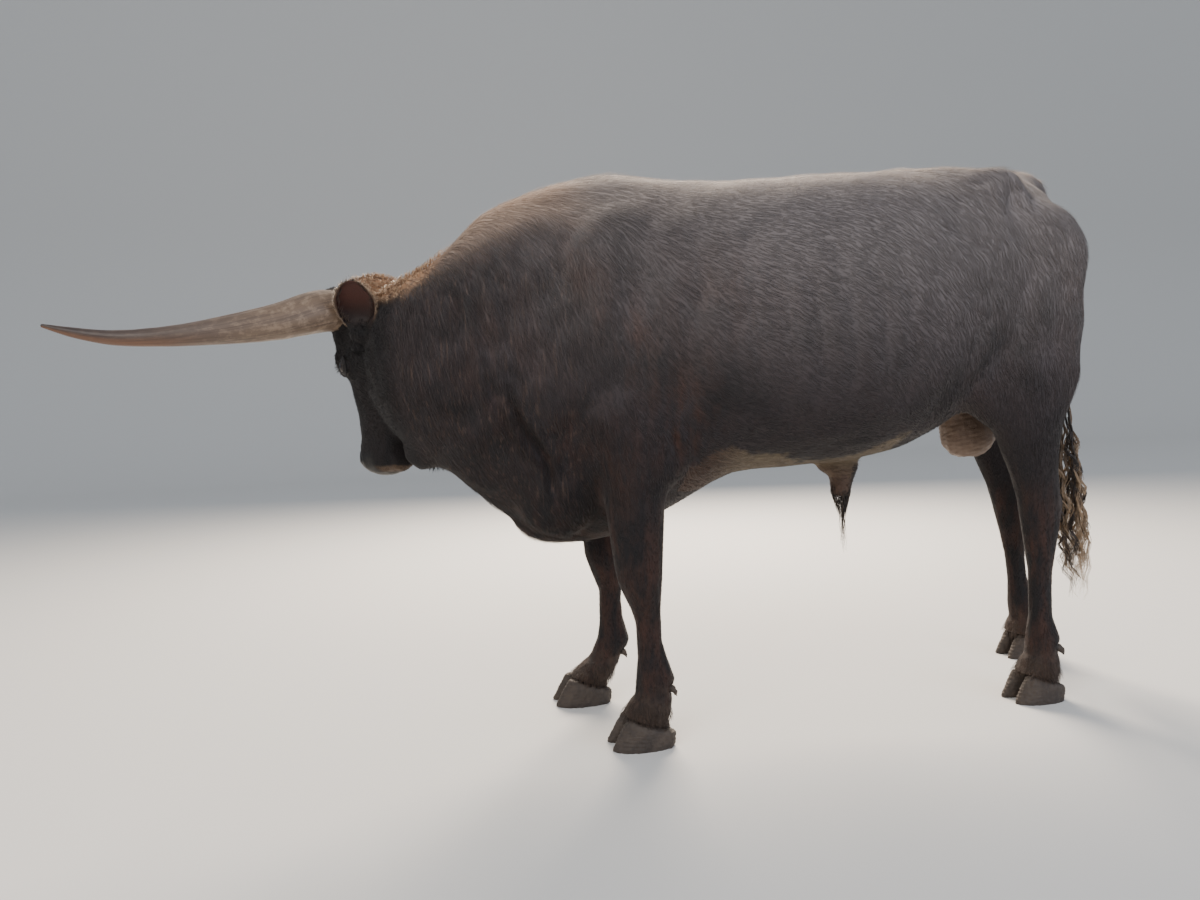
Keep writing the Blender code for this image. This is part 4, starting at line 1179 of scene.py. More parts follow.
class CoatLie:
    """Which way the coat lies, how long it is, how thick it stands and how it is split into pieces."""

    @staticmethod
    def direction(own: np.ndarray, normals: np.ndarray, part: dict[str, np.ndarray], net: Net) -> np.ndarray:
        """The way the hair runs at each point, along the skin.

        Args:
            own: Points in the animal's own coordinates.
            normals: Their normals.
            part: Their regions, as shares by name.
            net: The edges of the skin.

        Returns:
            Directions of length 1.
        """
        h = in_head(own)
        total = np.zeros_like(own)
        for mark in LIE_MARKS:
            for sign in (1, -1) if mark.place[1] else (1,):
                place = np.array(mark.place) * (1, sign, 1)
                way = unit(np.array(mark.way, float) * (1, sign, 1))
                if mark.on_head:
                    way = FROM_HEAD[:3, :3] @ way
                gap = ((h if mark.on_head else own) - place) / mark.reach
                share = np.exp(-0.5 * (gap**2).sum(1))
                share *= part["head"] if mark.on_head else 1 - 0.9 * part["head"]
                total += (share[:, None] + 1e-6) * way
        for ear in EARS:
            total += 30 * ear.near(h)[:, None] * (FROM_HEAD[:3, :3] @ ear.axis)
        total += 30 * part["tail"][:, None] * np.array((0.05, 0, -1.0))
        total = unit(total)
        swirl = 0.5 * ripple(own, 0.075, 21) + 0.35 * ripple(own, 0.040, 22)
        swirl *= 0.35 + 0.65 * ramp(own[:, 0], 0.55, 0.95) * ramp(own[:, 2], 0.75, 1.05)
        for _ in range(6):
            total += 0.6 * (net.mean(total) - total)
        total = unit(total - normals * (total * normals).sum(1, keepdims=True))
        across = np.cross(normals, total)
        return unit(total + across * (0.55 * swirl)[:, None])

    @staticmethod
    def length(own: np.ndarray, normals: np.ndarray, part: dict[str, np.ndarray]) -> np.ndarray:
        """The length of the hair at each point, in metres.

        Args:
            own: Points in the animal's own coordinates.
            normals: Their normals.
            part: Their regions, as shares by name.

        Returns:
            The lengths.
        """
        x, _, z = own.T
        size = np.full(len(own), 0.025)
        size += 0.007 * ramp(x, 0.70, 1.00) * ramp(z, 0.95, 1.15)
        for share, value in (
            (part["neck"], 0.042),
            (ramp(normals[:, 2], 0.6, 0.95) * ramp(z, 1.2, 1.35) * ramp(x, 0.35, 0.0), 0.032),
            (part["legs"], 0.015),
            (ramp(z, 0.28, 0.14), 0.013),
            (ramp(z, 0.110, 0.090), 0.025),
            (part["head"], 0.015),
            (part["head"] * ramp(in_head(own)[:, 0], 0.24, 0.36), 0.007),
            (ramp(eye_gap(in_head(own)), 0.045, 0.030), 0.007),
            (part["ears"], 0.008),
            (part["tail"], 0.034),
            (part["scrotum"], 0.006),
            (part["sheath"], 0.016),
        ):
            size += share * (value - size)
        return size * (1 + 0.15 * ripple(own, 0.05, 31))

    @staticmethod
    def thickness(own: np.ndarray, normals: np.ndarray, part: dict[str, np.ndarray]) -> np.ndarray:
        """How densely the hair stands, from 0 to 1.

        Args:
            own: Points in the animal's own coordinates.
            normals: Their normals.
            part: Their regions, as shares by name.

        Returns:
            The shares.
        """
        h = in_head(own)
        thick = np.ones(len(own))
        thick *= ramp(eye_gap(h), 0.0226, 0.0250)
        thick *= 1 - part["nose"]
        thick *= 1 + 1.6 * ramp(own[:, 2], 0.125, 0.105)
        thick *= 1 - 0.93 * part["scrotum"]
        for ear in EARS:
            thick *= 1 - ear.inside(h, normals @ TO_HEAD[:3, :3].T)
        horn_gap = np.min([
            near_path(h, ((0.045, 0.05 * s.value, -0.04), (0.052, 0.16 * s.value, -0.03)))[0] for s in Side
        ], axis=0)
        thick *= ramp(horn_gap, 0.050, 0.056)
        return thick

    @staticmethod
    def fluff(own: np.ndarray, normals: np.ndarray, part: dict[str, np.ndarray]) -> np.ndarray:
        """How far the hair stands off the skin beyond its usual tilt, from 0 to 1.

        Args:
            own: Points in the animal's own coordinates.
            normals: Their normals.
            part: Their regions, as shares by name.

        Returns:
            The shares.
        """
        top = ramp(normals[:, 2], 0.70, 0.98) * ramp(own[:, 2], 1.05, 1.20)
        crown = ramp(near_path(in_head(own), ((0.0, 0.0, -0.03), (-0.05, 0.02, -0.20)))[0], 0.12, 0.06)
        coronet = ramp(own[:, 2], 0.110, 0.085)
        return np.clip(0.30 * top + 0.7 * crown + 0.75 * coronet + 0.10 * ripple(own, 0.09, 41), 0, 1)

    @staticmethod
    def zone(centres: np.ndarray) -> np.ndarray:
        """The piece of coat that each face carries.

        Args:
            centres: The middles of the faces.

        Returns:
            The numbers of the zones.
        """
        x, y, z = centres.T
        part = Hide.regions(centres)
        left = y < 0
        zone = np.where(x < 0.20, np.where(left, Zone.NECK_LEFT.value, Zone.NECK_RIGHT.value),
                        np.where(left, Zone.BARREL_LEFT.value, Zone.BARREL_RIGHT.value))
        zone = np.where(x > 0.80, np.where(left, Zone.RUMP_LEFT.value, Zone.RUMP_RIGHT.value), zone)
        zone = np.where(part["legs"] > 0.5, Zone.LEGS.value, zone)
        return np.where(np.maximum(part["head"], part["ears"]) > 0.5, Zone.HEAD.value, zone)


def add(tree: NodeTree, kind: str, values: dict | None = None, **settings) -> Node:
    """Adds a node with its settings, its values and its links.

    Args:
        tree: The tree that takes the node.
        kind: The node's type.
        values: A value, a socket or a node for each input, by name or number.
        **settings: Settings on the node itself, or stops: the places and hex codes of a colour ramp.

    Returns:
        The node.
    """
    node = tree.nodes.new(kind)
    stops = settings.pop("stops", ())
    while stops and len(node.color_ramp.elements) < len(stops):
        node.color_ramp.elements.new(0.5)
    for number, (place, code) in enumerate(stops):
        node.color_ramp.elements[number].position = place
        node.color_ramp.elements[number].color = hex_colour(code)
    for name, value in settings.items():
        setattr(node, name, value)
    for key, value in (values or {}).items():
        if isinstance(value, Node):
            value = next(s for s in value.outputs if s.enabled)
        if isinstance(value, NodeSocket):
            tree.links.new(value, node.inputs[key])
        else:
            node.inputs[key].default_value = value
    return node


def blank_material(name: str) -> tuple[Material, NodeTree, Node]:
    """A material with only a surface shader and its output.

    Args:
        name: The material's name.

    Returns:
        The material, its tree and its shader.
    """
    material = bpy.data.materials.new(name)
    material.use_nodes = True
    tree = material.node_tree
    tree.nodes.clear()
    shader = add(tree, "ShaderNodeBsdfPrincipled")
    add(tree, "ShaderNodeOutputMaterial", {"Surface": shader})
    return material, tree, shader


@dataclass(frozen=True)
class CoatColours:
    """Colours of a seal-brown bull's winter coat and of its skin, as sRGB hex codes, with painted highlights
    and painted shade among them.
    """

    seal: str = "2D2627"
    # Black: the coat's darker clouds, and the painted shade of the lower body
    black: str = "131011"
    # Face: the head's own dark colour, deepened as painted shade
    face: str = "080708"
    russet: str = "3B251C"
    mane: str = "45362F"
    # Painted haze of the back light over the upper body
    hazy: str = "6F6866"
    # Painted highlight along the topline
    sunned: str = "C2B2A4"
    cream: str = "5F5341"
    thin_cream: str = "3B2C23"
    cap: str = "B89272"
    lip: str = "4F3F31"
    nose: str = "0B0908"
    lids: str = "1E1917"
    bowl: str = "3B1C15"
    rim: str = "6A5746"
    scrotum: str = "5E4D41"
    sheath: str = "4C3B30"
    dust: str = "40332A"


@dataclass(frozen=True)
class Layer:
    """One colour laid over those before it, where a field of the skin and a pattern say."""

    field: str
    code: str
    strength: float = 1.0
    pattern: str = ""
    low: float = 0.0
    high: float = 1.0
    # Where the field is a distance in metres: how far its edge is frayed
    fray: float = 0.0

    def lay(self, tree: NodeTree, base: NodeSocket, patterns: dict) -> NodeSocket:
        """Adds the layer to a material.

        Args:
            tree: The material's tree.
            base: The colour under it.
            patterns: The sockets of the patterns by name.

        Returns:
            The socket that carries the new colour.
        """
        share = add(tree, "ShaderNodeAttribute", attribute_name=self.field).outputs["Fac"]
        if self.fray:
            seen = add(tree, "ShaderNodeMath", {0: patterns["fray"], 1: self.fray, 2: share},
                       operation="MULTIPLY_ADD")
            share = add(tree, "ShaderNodeMapRange", {0: seen, 1: self.low, 2: self.high},
                        interpolation_type="SMOOTHSTEP")
        elif self.pattern:
            seen = add(tree, "ShaderNodeMapRange", {0: patterns[self.pattern], 1: self.low, 2: self.high},
                       interpolation_type="SMOOTHSTEP")
            share = add(tree, "ShaderNodeMath", {0: share, 1: seen}, operation="MULTIPLY")
        share = add(tree, "ShaderNodeMath", {0: share, 1: self.strength}, operation="MULTIPLY")
        return add(tree, "ShaderNodeMix", {0: share, 6: base, 7: hex_colour(self.code)},
                   data_type="RGBA").outputs[2]


def paint_markings(tree: NodeTree, colours: CoatColours) -> NodeSocket:
    """Adds the shared pattern of the animal, with its painted highlights and painted shade, to a material.

    Args:
        tree: The material's tree.
        colours: The colours of the pattern.

    Returns:
        The socket that carries the colour.
    """
    place = add(tree, "ShaderNodeTexCoord").outputs["Object"]
    height = add(tree, "ShaderNodeSeparateXYZ", {0: place}).outputs[2]
    patterns = {}
    for name, stretch, scale, detail, rough in (
        # Clouds 180 mm across
        ("broad", (1.0, 1.0, 1.0), 5.5, 4.0, 0.6),
        # Streaks about 35 mm wide and 120 mm long
        ("streak", (9.0, 9.0, 2.6), 3.2, 6.0, 0.65),
        # The ragged edges of the markings, 26 mm from tooth to tooth
        ("fray", (1.0, 1.0, 1.0), 38.0, 3.0, 0.5),
        # Single paler locks of the neck, about 6 mm wide and 140 mm long
        ("locks", (1.0, 1.0, 0.045), 150.0, 2.0, 0.5),
    ):
        drawn = add(tree, "ShaderNodeMapping", {"Vector": place, "Scale": stretch})
        patterns[name] = add(tree, "ShaderNodeTexNoise", {
            "Vector": drawn, "Scale": scale, "Detail": detail, "Roughness": rough,
        }).outputs[0]
    clouds = add(tree, "ShaderNodeMapRange", {0: patterns["broad"], 1: 0.25, 2: 0.60},
                 interpolation_type="SMOOTHSTEP")
    # Painted shade: the coat goes to black towards the ground, over darker clouds that are the coat's own
    above_painted_shade = add(tree, "ShaderNodeMapRange", {0: height, 1: 0.45, 2: 1.00}, interpolation_type="SMOOTHSTEP")
    dim = add(tree, "ShaderNodeMath", {0: clouds, 1: above_painted_shade}, operation="MULTIPLY")
    colour = add(tree, "ShaderNodeMix", {0: dim, 6: hex_colour(colours.black), 7: hex_colour(colours.seal)},
                 data_type="RGBA").outputs[2]
    for layer in (
        # The head's near-black, partly its own colour and partly painted shade
        Layer("dark", colours.face, 0.8),
        Layer("russet", colours.russet, 1.0, "streak", 0.36, 0.70),
        Layer("mane", colours.mane, 1.0, "locks", 0.56, 0.70),
        # Painted haze of the back light over the upper body
        Layer("hazy", colours.hazy, 0.92),
        # Painted highlight along the topline, where the hair faces up
        Layer("crest", colours.sunned, 0.88),
        # Painted highlight on the top of the neck
        Layer("ruff", colours.cap),
        Layer("cap", colours.cap, 1.0, "fray", 0.2, 0.6),
    ):
        colour = layer.lay(tree, colour, patterns)
    # The cream belly: thin towards the elbow, streaked, with a ragged edge
    thin = add(tree, "ShaderNodeAttribute", attribute_name="thin").outputs["Fac"]
    pale = add(tree, "ShaderNodeMix", {0: thin, 6: hex_colour(colours.cream),
        7: hex_colour(colours.thin_cream)},
               data_type="RGBA").outputs[2]
    worn = add(tree, "ShaderNodeMapRange", {0: patterns["streak"], 1: 0.45, 2: 0.75, 4: 0.55},
               interpolation_type="SMOOTHSTEP")
    pale = add(tree, "ShaderNodeMix", {0: worn, 6: pale, 7: hex_colour(colours.thin_cream)},
               data_type="RGBA").outputs[2]
    inside = add(tree, "ShaderNodeAttribute", attribute_name="cream").outputs["Fac"]
    ragged = add(tree, "ShaderNodeMath", {0: patterns["fray"], 1: 0.050, 2: inside}, operation="MULTIPLY_ADD")
    belly = add(tree, "ShaderNodeMapRange", {0: ragged, 1: 0.015, 2: 0.035}, interpolation_type="SMOOTHSTEP")
    colour = add(tree, "ShaderNodeMix", {0: belly, 6: colour, 7: pale}, data_type="RGBA").outputs[2]
    for layer in (
        Layer("lip", colours.lip, 0.8, low=0.004, high=0.012, fray=0.016),
        Layer("sheath", colours.sheath, 0.8),
        Layer("scrotum", colours.scrotum),
        Layer("bowl", colours.bowl),
        # Near-black towards the ears' roots, partly painted shade
        Layer("ear_root", colours.nose, 0.85),
        Layer("rim", colours.rim, 0.8),
        Layer("lids", colours.lids, 0.8),
        Layer("nose", colours.nose),
    ):
        colour = layer.lay(tree, colour, patterns)
    # Dust that thins out from 120 to 230 mm above the ground
    low = add(tree, "ShaderNodeMath", {0: patterns["fray"], 1: 0.12, 2: height}, operation="MULTIPLY_ADD")
    dusty = add(tree, "ShaderNodeMapRange", {0: low, 1: 0.23, 2: 0.12, 4: 0.75},
                interpolation_type="SMOOTHSTEP")
    return add(tree, "ShaderNodeMix", {0: dusty, 6: colour, 7: hex_colour(colours.dust)},
               data_type="RGBA").outputs[2]


@dataclass(frozen=True)
class HideFinish:
    """Living hide under a short coat: matt, with fine hair as relief, and damp leather on the nose."""

    colours: CoatColours = CoatColours()
    name: str = "short winter hide"

    def make(self) -> Material:
        """Builds the hide's material.

        Returns:
            The material.
        """
        material, tree, shader = blank_material(self.name)
        place = add(tree, "ShaderNodeTexCoord").outputs["Object"]
        bare = add(tree, "ShaderNodeAttribute", attribute_name="bare").outputs["Fac"]
        colour = paint_markings(tree, self.colours)
        # Hair strands about 1.5 mm apart and 25 mm long, drawn down the body
        strands = add(tree, "ShaderNodeTexNoise", {
            "Vector": add(tree, "ShaderNodeMapping", {"Vector": place, "Scale": (1.0, 1.0, 0.10)}),
            "Scale": 420.0, "Detail": 3.0,
        })
        pebbles = add(tree, "ShaderNodeTexVoronoi", {"Vector": place, "Scale": 260.0}, feature="F1")
        relief = add(tree, "ShaderNodeMix", {0: bare, 2: strands.outputs[0], 3: pebbles.outputs[0]})
        bump = add(tree, "ShaderNodeBump", {"Height": relief.outputs[0], "Strength": 0.5, "Distance": 0.0012})
        rough = add(tree, "ShaderNodeMapRange", {0: bare, 1: 0.0, 2: 1.0, 3: 0.78, 4: 0.52})
        for key, value in (("Base Color", colour), ("Roughness", rough), ("Normal", bump)):
            tree.links.new(value if isinstance(value, NodeSocket) else value.outputs[0], shader.inputs[key])
        shader.inputs["Specular IOR Level"].default_value = 0.24
        shader.inputs["Sheen Weight"].default_value = 0.05
        shader.inputs["Sheen Roughness"].default_value = 0.5
        return material


@dataclass(frozen=True)
class HairFinish:
    """Coarse cattle hair: the body's markings with their painted light and shade, darker at the root, each
    tuft a little lighter or darker.
    """

    colours: CoatColours = CoatColours()
    name: str = "short winter hair"

    def make(self) -> Material:
        """Builds the coat's material.

        Returns:
            The material.
        """
        material, tree, shader = blank_material(self.name)
        colour = paint_markings(tree, self.colours)
        along = add(tree, "ShaderNodeAttribute", attribute_name="along").outputs["Fac"]
        chance = add(tree, "ShaderNodeAttribute", attribute_name="chance").outputs["Fac"]
        lift = add(tree, "ShaderNodeMapRange", {0: along, 1: 0.0, 2: 1.0, 3: 0.96, 4: 1.03})
        tint = add(tree, "ShaderNodeMapRange", {0: chance, 1: 0.0, 2: 1.0, 3: 0.95, 4: 1.07})
        both = add(tree, "ShaderNodeMath", {0: lift, 1: tint}, operation="MULTIPLY")
        final = add(tree, "ShaderNodeVectorMath", {0: colour, "Scale": both.outputs[0]}, operation="SCALE")
        tree.links.new(final.outputs[0], shader.inputs["Base Color"])
        shader.inputs["Roughness"].default_value = 0.66
        shader.inputs["Specular IOR Level"].default_value = 0.16
        shader.inputs["Sheen Weight"].default_value = 0.06
        return material


@dataclass
class BladeShape:
    """One tuft: a thin solid wedge of hair, a unit long and wide, that lifts a little and bends back down."""

    stations: tuple = ((0.0, 0.85, 0.0), (0.45, 1.0, 0.8))
    thickness: float = 0.08
    tip: tuple = (0.5, 1.0, -0.9)

    def build(self) -> Object:
        """The tuft as an object to scatter.

        Returns:
            The tuft.
        """
        places, along = [], []
        for t, width, lift in self.stations:
            for u, v in ((-0.5, 0.0), (0.5, 0.0), (0.0, self.thickness)):
                places.append((u * width, t, lift + v * width))
                along.append(t)
        places.append(self.tip)
        along.append(1.0)
        faces = [(0, 1, 2)]
        for k in range(len(self.stations) - 1):
            low, high = 3 * k, 3 * k + 3
            for i in range(3):
                j = (i + 1) % 3
                faces.append((low + j, low + i, high + i, high + j))
        last = 3 * (len(self.stations) - 1)
        faces += [(last + (i + 1) % 3, last + i, len(places) - 1) for i in range(3)]
        mesh = bpy.data.meshes.new("tuft")
        mesh.from_pydata(places, [], faces)
        write_field(mesh, "along", np.array(along))
        patch = mesh.uv_layers.new(name="patch")
        for loop in mesh.loops:
            place = places[loop.vertex_index]
            patch.data[loop.index].uv = (place[0], place[1] - 0.5)
        return put_in_scene("tuft", mesh)


class CoatScatter:
    """Geometry Nodes that set tufts over the skin along the lie of the coat."""

    inputs = (
        ("Blade", "NodeSocketObject"), ("Hair", "NodeSocketMaterial"), ("Zone", "NodeSocketInt"),
        ("Tufts per square metre", "NodeSocketFloat"), ("Width", "NodeSocketFloat"),
        ("Unruly", "NodeSocketFloat"), ("Lowest tilt", "NodeSocketFloat"),
        ("Highest tilt", "NodeSocketFloat"),
        ("Patch", "NodeSocketFloat"), ("Seed", "NodeSocketInt"),
    )

    def __init__(self) -> None:
        """Builds the tree once, for all zones."""
        tree = bpy.data.node_groups.new("coat tufts", "GeometryNodeTree")
        tree.interface.new_socket(name="Geometry", in_out="INPUT", socket_type="NodeSocketGeometry")
        self.keys = {
            name: tree.interface.new_socket(name=name, in_out="INPUT", socket_type=kind).identifier
            for name, kind in self.inputs
        }
        tree.interface.new_socket(name="Geometry", in_out="OUTPUT", socket_type="NodeSocketGeometry")
        given = add(tree, "NodeGroupInput").outputs

        skin = {
            name: add(tree, "GeometryNodeInputNamedAttribute", {"Name": name}, data_type=kind)
            for name, kind in (
                ("coat_zone", "INT"), ("coat_thickness", "FLOAT"), ("coat_length", "FLOAT"),
                ("fluff", "FLOAT"), ("lie", "FLOAT_VECTOR"), ("patch", "FLOAT_VECTOR"),
                ("OFBake", "FLOAT_VECTOR"),
            )
        }
        # A random number for each tuft: its name, its bounds and what is added to the seed
        draws = {}
        for name, least, most, step in (
            ("x", -1.0, 1.0, 10.0), ("y", -1.0, 1.0, 11.0), ("z", -1.0, 1.0, 12.0),
            ("tilt", given["Lowest tilt"], given["Highest tilt"], 20.0),
            ("length", 0.70, 1.25, 30.0), ("width", 0.7, 1.3, 40.0), ("chance", 0.0, 1.0, 50.0),
        ):
            seed = add(tree, "ShaderNodeMath", {0: given["Seed"], 1: step}, operation="ADD")
            drawn = add(tree, "FunctionNodeRandomValue", {2: least, 3: most, "Seed": seed}, data_type="FLOAT")
            draws[name] = drawn.outputs[1]
        here = add(tree, "FunctionNodeCompare", {2: skin["coat_zone"], 3: given["Zone"]},
                   data_type="INT", operation="EQUAL")
        dense = add(tree, "ShaderNodeMath", {0: skin["coat_thickness"], 1: given["Tufts per square metre"]},
                    operation="MULTIPLY")
        spread = add(tree, "GeometryNodeDistributePointsOnFaces", {
            "Mesh": given["Geometry"], "Selection": here, "Density": dense, "Seed": given["Seed"],
        }, distribute_method="RANDOM")
        jitter = add(tree, "ShaderNodeCombineXYZ", {i: draws[name] for i, name in enumerate("xyz")})
        shaken = add(tree, "ShaderNodeVectorMath", {0: jitter, "Scale": given["Unruly"]}, operation="SCALE")
        way = add(tree, "ShaderNodeVectorMath", {0: skin["lie"], 1: shaken}, operation="ADD")
        upright = add(tree, "FunctionNodeAlignRotationToVector", {"Vector": spread.outputs["Normal"]},
            axis="Z")
        along = add(tree, "FunctionNodeAlignRotationToVector", {"Rotation": upright, "Vector": way},
                    axis="Y", pivot_axis="Z")
        angle = add(tree, "ShaderNodeMath", {
            0: skin["fluff"], 1: 0.5, 2: draws["tilt"],
        }, operation="MULTIPLY_ADD")
        tilt = add(tree, "FunctionNodeAxisAngleToRotation", {"Axis": (1.0, 0.0, 0.0), "Angle": angle})
        turned = add(tree, "FunctionNodeRotateRotation", {"Rotation": along, "Rotate By": tilt},
            rotation_space="LOCAL")
        long = add(tree, "ShaderNodeMath", {0: skin["coat_length"], 1: draws["length"]}, operation="MULTIPLY")
        wide = add(tree, "ShaderNodeMath", {0: given["Width"], 1: draws["width"]}, operation="MULTIPLY")
        scale = add(tree, "ShaderNodeCombineXYZ", {0: wide, 1: long, 2: wide})
        marked = add(tree, "GeometryNodeStoreNamedAttribute", {
            "Geometry": spread.outputs["Points"], "Name": "chance", "Value": draws["chance"],
        }, data_type="FLOAT", domain="POINT")
        blade = add(tree, "GeometryNodeObjectInfo", {"Object": given["Blade"], "As Instance": True})
        tufts = add(tree, "GeometryNodeInstanceOnPoints", {
            "Points": marked, "Instance": blade.outputs["Geometry"], "Rotation": turned, "Scale": scale,
        })
        real = add(tree, "GeometryNodeRealizeInstances", {"Geometry": tufts})
        offset = add(tree, "ShaderNodeVectorMath", {0: skin["patch"], "Scale": given["Patch"]},
            operation="SCALE")
        spot = add(tree, "ShaderNodeVectorMath", {0: skin["OFBake"], 1: offset}, operation="ADD")
        mapped = add(tree, "GeometryNodeStoreNamedAttribute",
            {"Geometry": real, "Name": "OFBake", "Value": spot},
                     data_type="FLOAT2", domain="CORNER")
        finish = add(tree, "GeometryNodeSetMaterial", {"Geometry": mapped, "Material": given["Hair"]})
        add(tree, "NodeGroupOutput", {0: finish})
        self.tree = tree

    def scatter(self, name: str, skin: Mesh, values: dict[str, object]) -> Mesh:
        """Runs the tree on the skin.

        Args:
            name: The piece's name.
            skin: The skin with its fields.
            values: The inputs by name.

        Returns:
            The tufts as a plain mesh.
        """
        host = put_in_scene(name, skin.copy())
        modifier = host.modifiers.new("tufts", "NODES")
        modifier.node_group = self.tree
        for key, value in values.items():
            modifier[self.keys[key]] = value
        return evaluated_mesh(host)


@dataclass
class Coat:
    """The short coat in eight pieces of tufts."""

    patch: float = 0.003
    kinds: tuple = (
        # Zone, number of tufts, width in metres, unruliness, lowest and highest tilt in radians
        (Zone.HEAD, 17500, 0.0010, 0.16, 0.01, 0.12),
        (Zone.NECK_LEFT, 18500, 0.0012, 0.11, -0.01, 0.045),
        (Zone.NECK_RIGHT, 18500, 0.0012, 0.11, -0.01, 0.045),
        (Zone.BARREL_LEFT, 18500, 0.0012, 0.10, -0.012, 0.035),
        (Zone.BARREL_RIGHT, 18500, 0.0012, 0.10, -0.012, 0.035),
        (Zone.RUMP_LEFT, 18500, 0.0012, 0.15, -0.01, 0.06),
        (Zone.RUMP_RIGHT, 18500, 0.0012, 0.15, -0.01, 0.06),
        (Zone.LEGS, 18500, 0.0011, 0.12, 0.00, 0.07),
    )

    def build(self, skin: Mesh, finish: Material) -> list[Object]:
        """Makes the pieces of coat.

        Args:
            skin: The skin that carries them.
            finish: The hair's material.

        Returns:
            The pieces.
        """
        blade = BladeShape().build()
        scatter = CoatScatter()
        made = []
        for number, (zone, tufts, width, unruly, low, high) in enumerate(self.kinds):
            dense = tufts / self.hairy_area(skin, zone)
            mesh = scatter.scatter(f"coat_{zone.name.lower()}", skin, {
                "Blade": blade, "Hair": finish, "Zone": zone.value, "Tufts per square metre": dense,
                "Width": width, "Unruly": unruly, "Lowest tilt": low, "Highest tilt": high,
                "Patch": self.patch, "Seed": 7 + number,
            })
            for spare in ("lie", "coat_length", "coat_thickness", "coat_zone", "fluff", "patch"):
                if spare in mesh.attributes:
                    mesh.attributes.remove(mesh.attributes[spare])
            piece = dressed(f"coat_{zone.name.lower()}", mesh, finish, "short coat")
            triangles = sum(len(p.vertices) - 2 for p in mesh.polygons)
            log.info("%s: %d triangles", piece.name, triangles)
            made.append(piece)
        bpy.data.objects.remove(blade)
        return made

    @staticmethod
    def hairy_area(skin: Mesh, zone: Zone) -> float:
        """A zone's area in square metres, each face counted by how densely its hair stands.

        Args:
            skin: The skin.
            zone: The zone.

        Returns:
            The area.
        """
        area = read_all(skin.polygons, "area")
        kind = read_all(skin.attributes["coat_zone"].data, "value", whole=True)
        thick = read_all(skin.attributes["coat_thickness"].data, "value")
        corners = read_all(skin.loops, "vertex_index", whole=True)
        return float((area * thick[corners].reshape(-1, 3).mean(1))[kind == zone.value].sum())


@dataclass(frozen=True)
class HornFinish:
    """Horn sheath: layered keratin, satin where rubbed, with long streaks and a darker, smoother point."""

    pale: str = "655343"
    grey: str = "54453A"
    brown: str = "3A2C25"
    point: str = "281B17"
    light: str = "8C7865"
    amber: str = "6E4A33"
    name: str = "weathered horn"

    def make(self) -> Material:
        """Builds the horns' material.

        Returns:
            The material.
        """
        material, tree, shader = blank_material(self.name)
        along = add(tree, "ShaderNodeAttribute", attribute_name="along").outputs["Fac"]
        turn = add(tree, "ShaderNodeAttribute", attribute_name="wrap").outputs["Vector"]
        # Streaks 2 to 4 mm wide and up to 150 mm long
        streaks = add(tree, "ShaderNodeTexNoise", {
            "Vector": add(tree, "ShaderNodeMapping", {"Vector": turn, "Scale": (1.0, 1.0, 0.05)}),
            "Scale": 130.0, "Detail": 5.0, "Roughness": 0.65,
        })
        clouds = add(tree, "ShaderNodeTexNoise", {"Vector": turn, "Scale": 22.0, "Detail": 4.0})
        shaken = add(tree, "ShaderNodeMath", {0: clouds.outputs[0], 1: 0.22, 2: along},
            operation="MULTIPLY_ADD")
        body = add(tree, "ShaderNodeValToRGB", {0: shaken}, stops=(
            (0.10, self.pale), (0.42, self.pale), (0.62, self.grey), (0.86, self.brown), (1.0, self.point),
        ))
        mask = add(tree, "ShaderNodeMapRange", {0: streaks.outputs[0], 1: 0.46, 2: 0.70, 3: 0.0, 4: 0.72})
        # Worn pale patches 10 to 30 mm across near the root, and an amber underside on the outer third
        under = add(tree, "ShaderNodeAttribute", attribute_name="under").outputs["Fac"]
        worn = add(tree, "ShaderNodeTexNoise",
                   {"Vector": turn, "Scale": 48.0, "Detail": 5.0, "Roughness": 0.7})
        rubbed = add(tree, "ShaderNodeMapRange", {0: worn.outputs[0], 1: 0.48, 2: 0.62, 3: 0.0, 4: 0.75})
        fading = add(tree, "ShaderNodeMapRange", {0: along, 1: 0.15, 2: 0.60, 3: 1.0, 4: 0.15})
        patches = add(tree, "ShaderNodeMath", {0: rubbed, 1: fading}, operation="MULTIPLY")
        lit = add(tree, "ShaderNodeMix", {0: patches, 6: body.outputs[0], 7: hex_colour(self.light)},
                  data_type="RGBA")
        warm = add(tree, "ShaderNodeMix", {0: under, 6: lit.outputs[2], 7: hex_colour(self.amber)},
                   data_type="RGBA")
        colour = add(tree, "ShaderNodeMix", {0: mask, 6: warm.outputs[2], 7: hex_colour(self.brown)},
            data_type="RGBA")
        bump = add(tree, "ShaderNodeBump", {"Height": streaks.outputs[0], "Strength": 0.35,
            "Distance": 0.0008})
        rough = add(tree, "ShaderNodeMapRange", {0: streaks.outputs[0], 1: 0.3, 2: 0.7, 3: 0.42, 4: 0.62})
        for key, value in (("Base Color", colour.outputs[2]), ("Roughness", rough.outputs[0]),
            ("Normal", bump.outputs[0])):
            tree.links.new(value, shader.inputs[key])
        return material


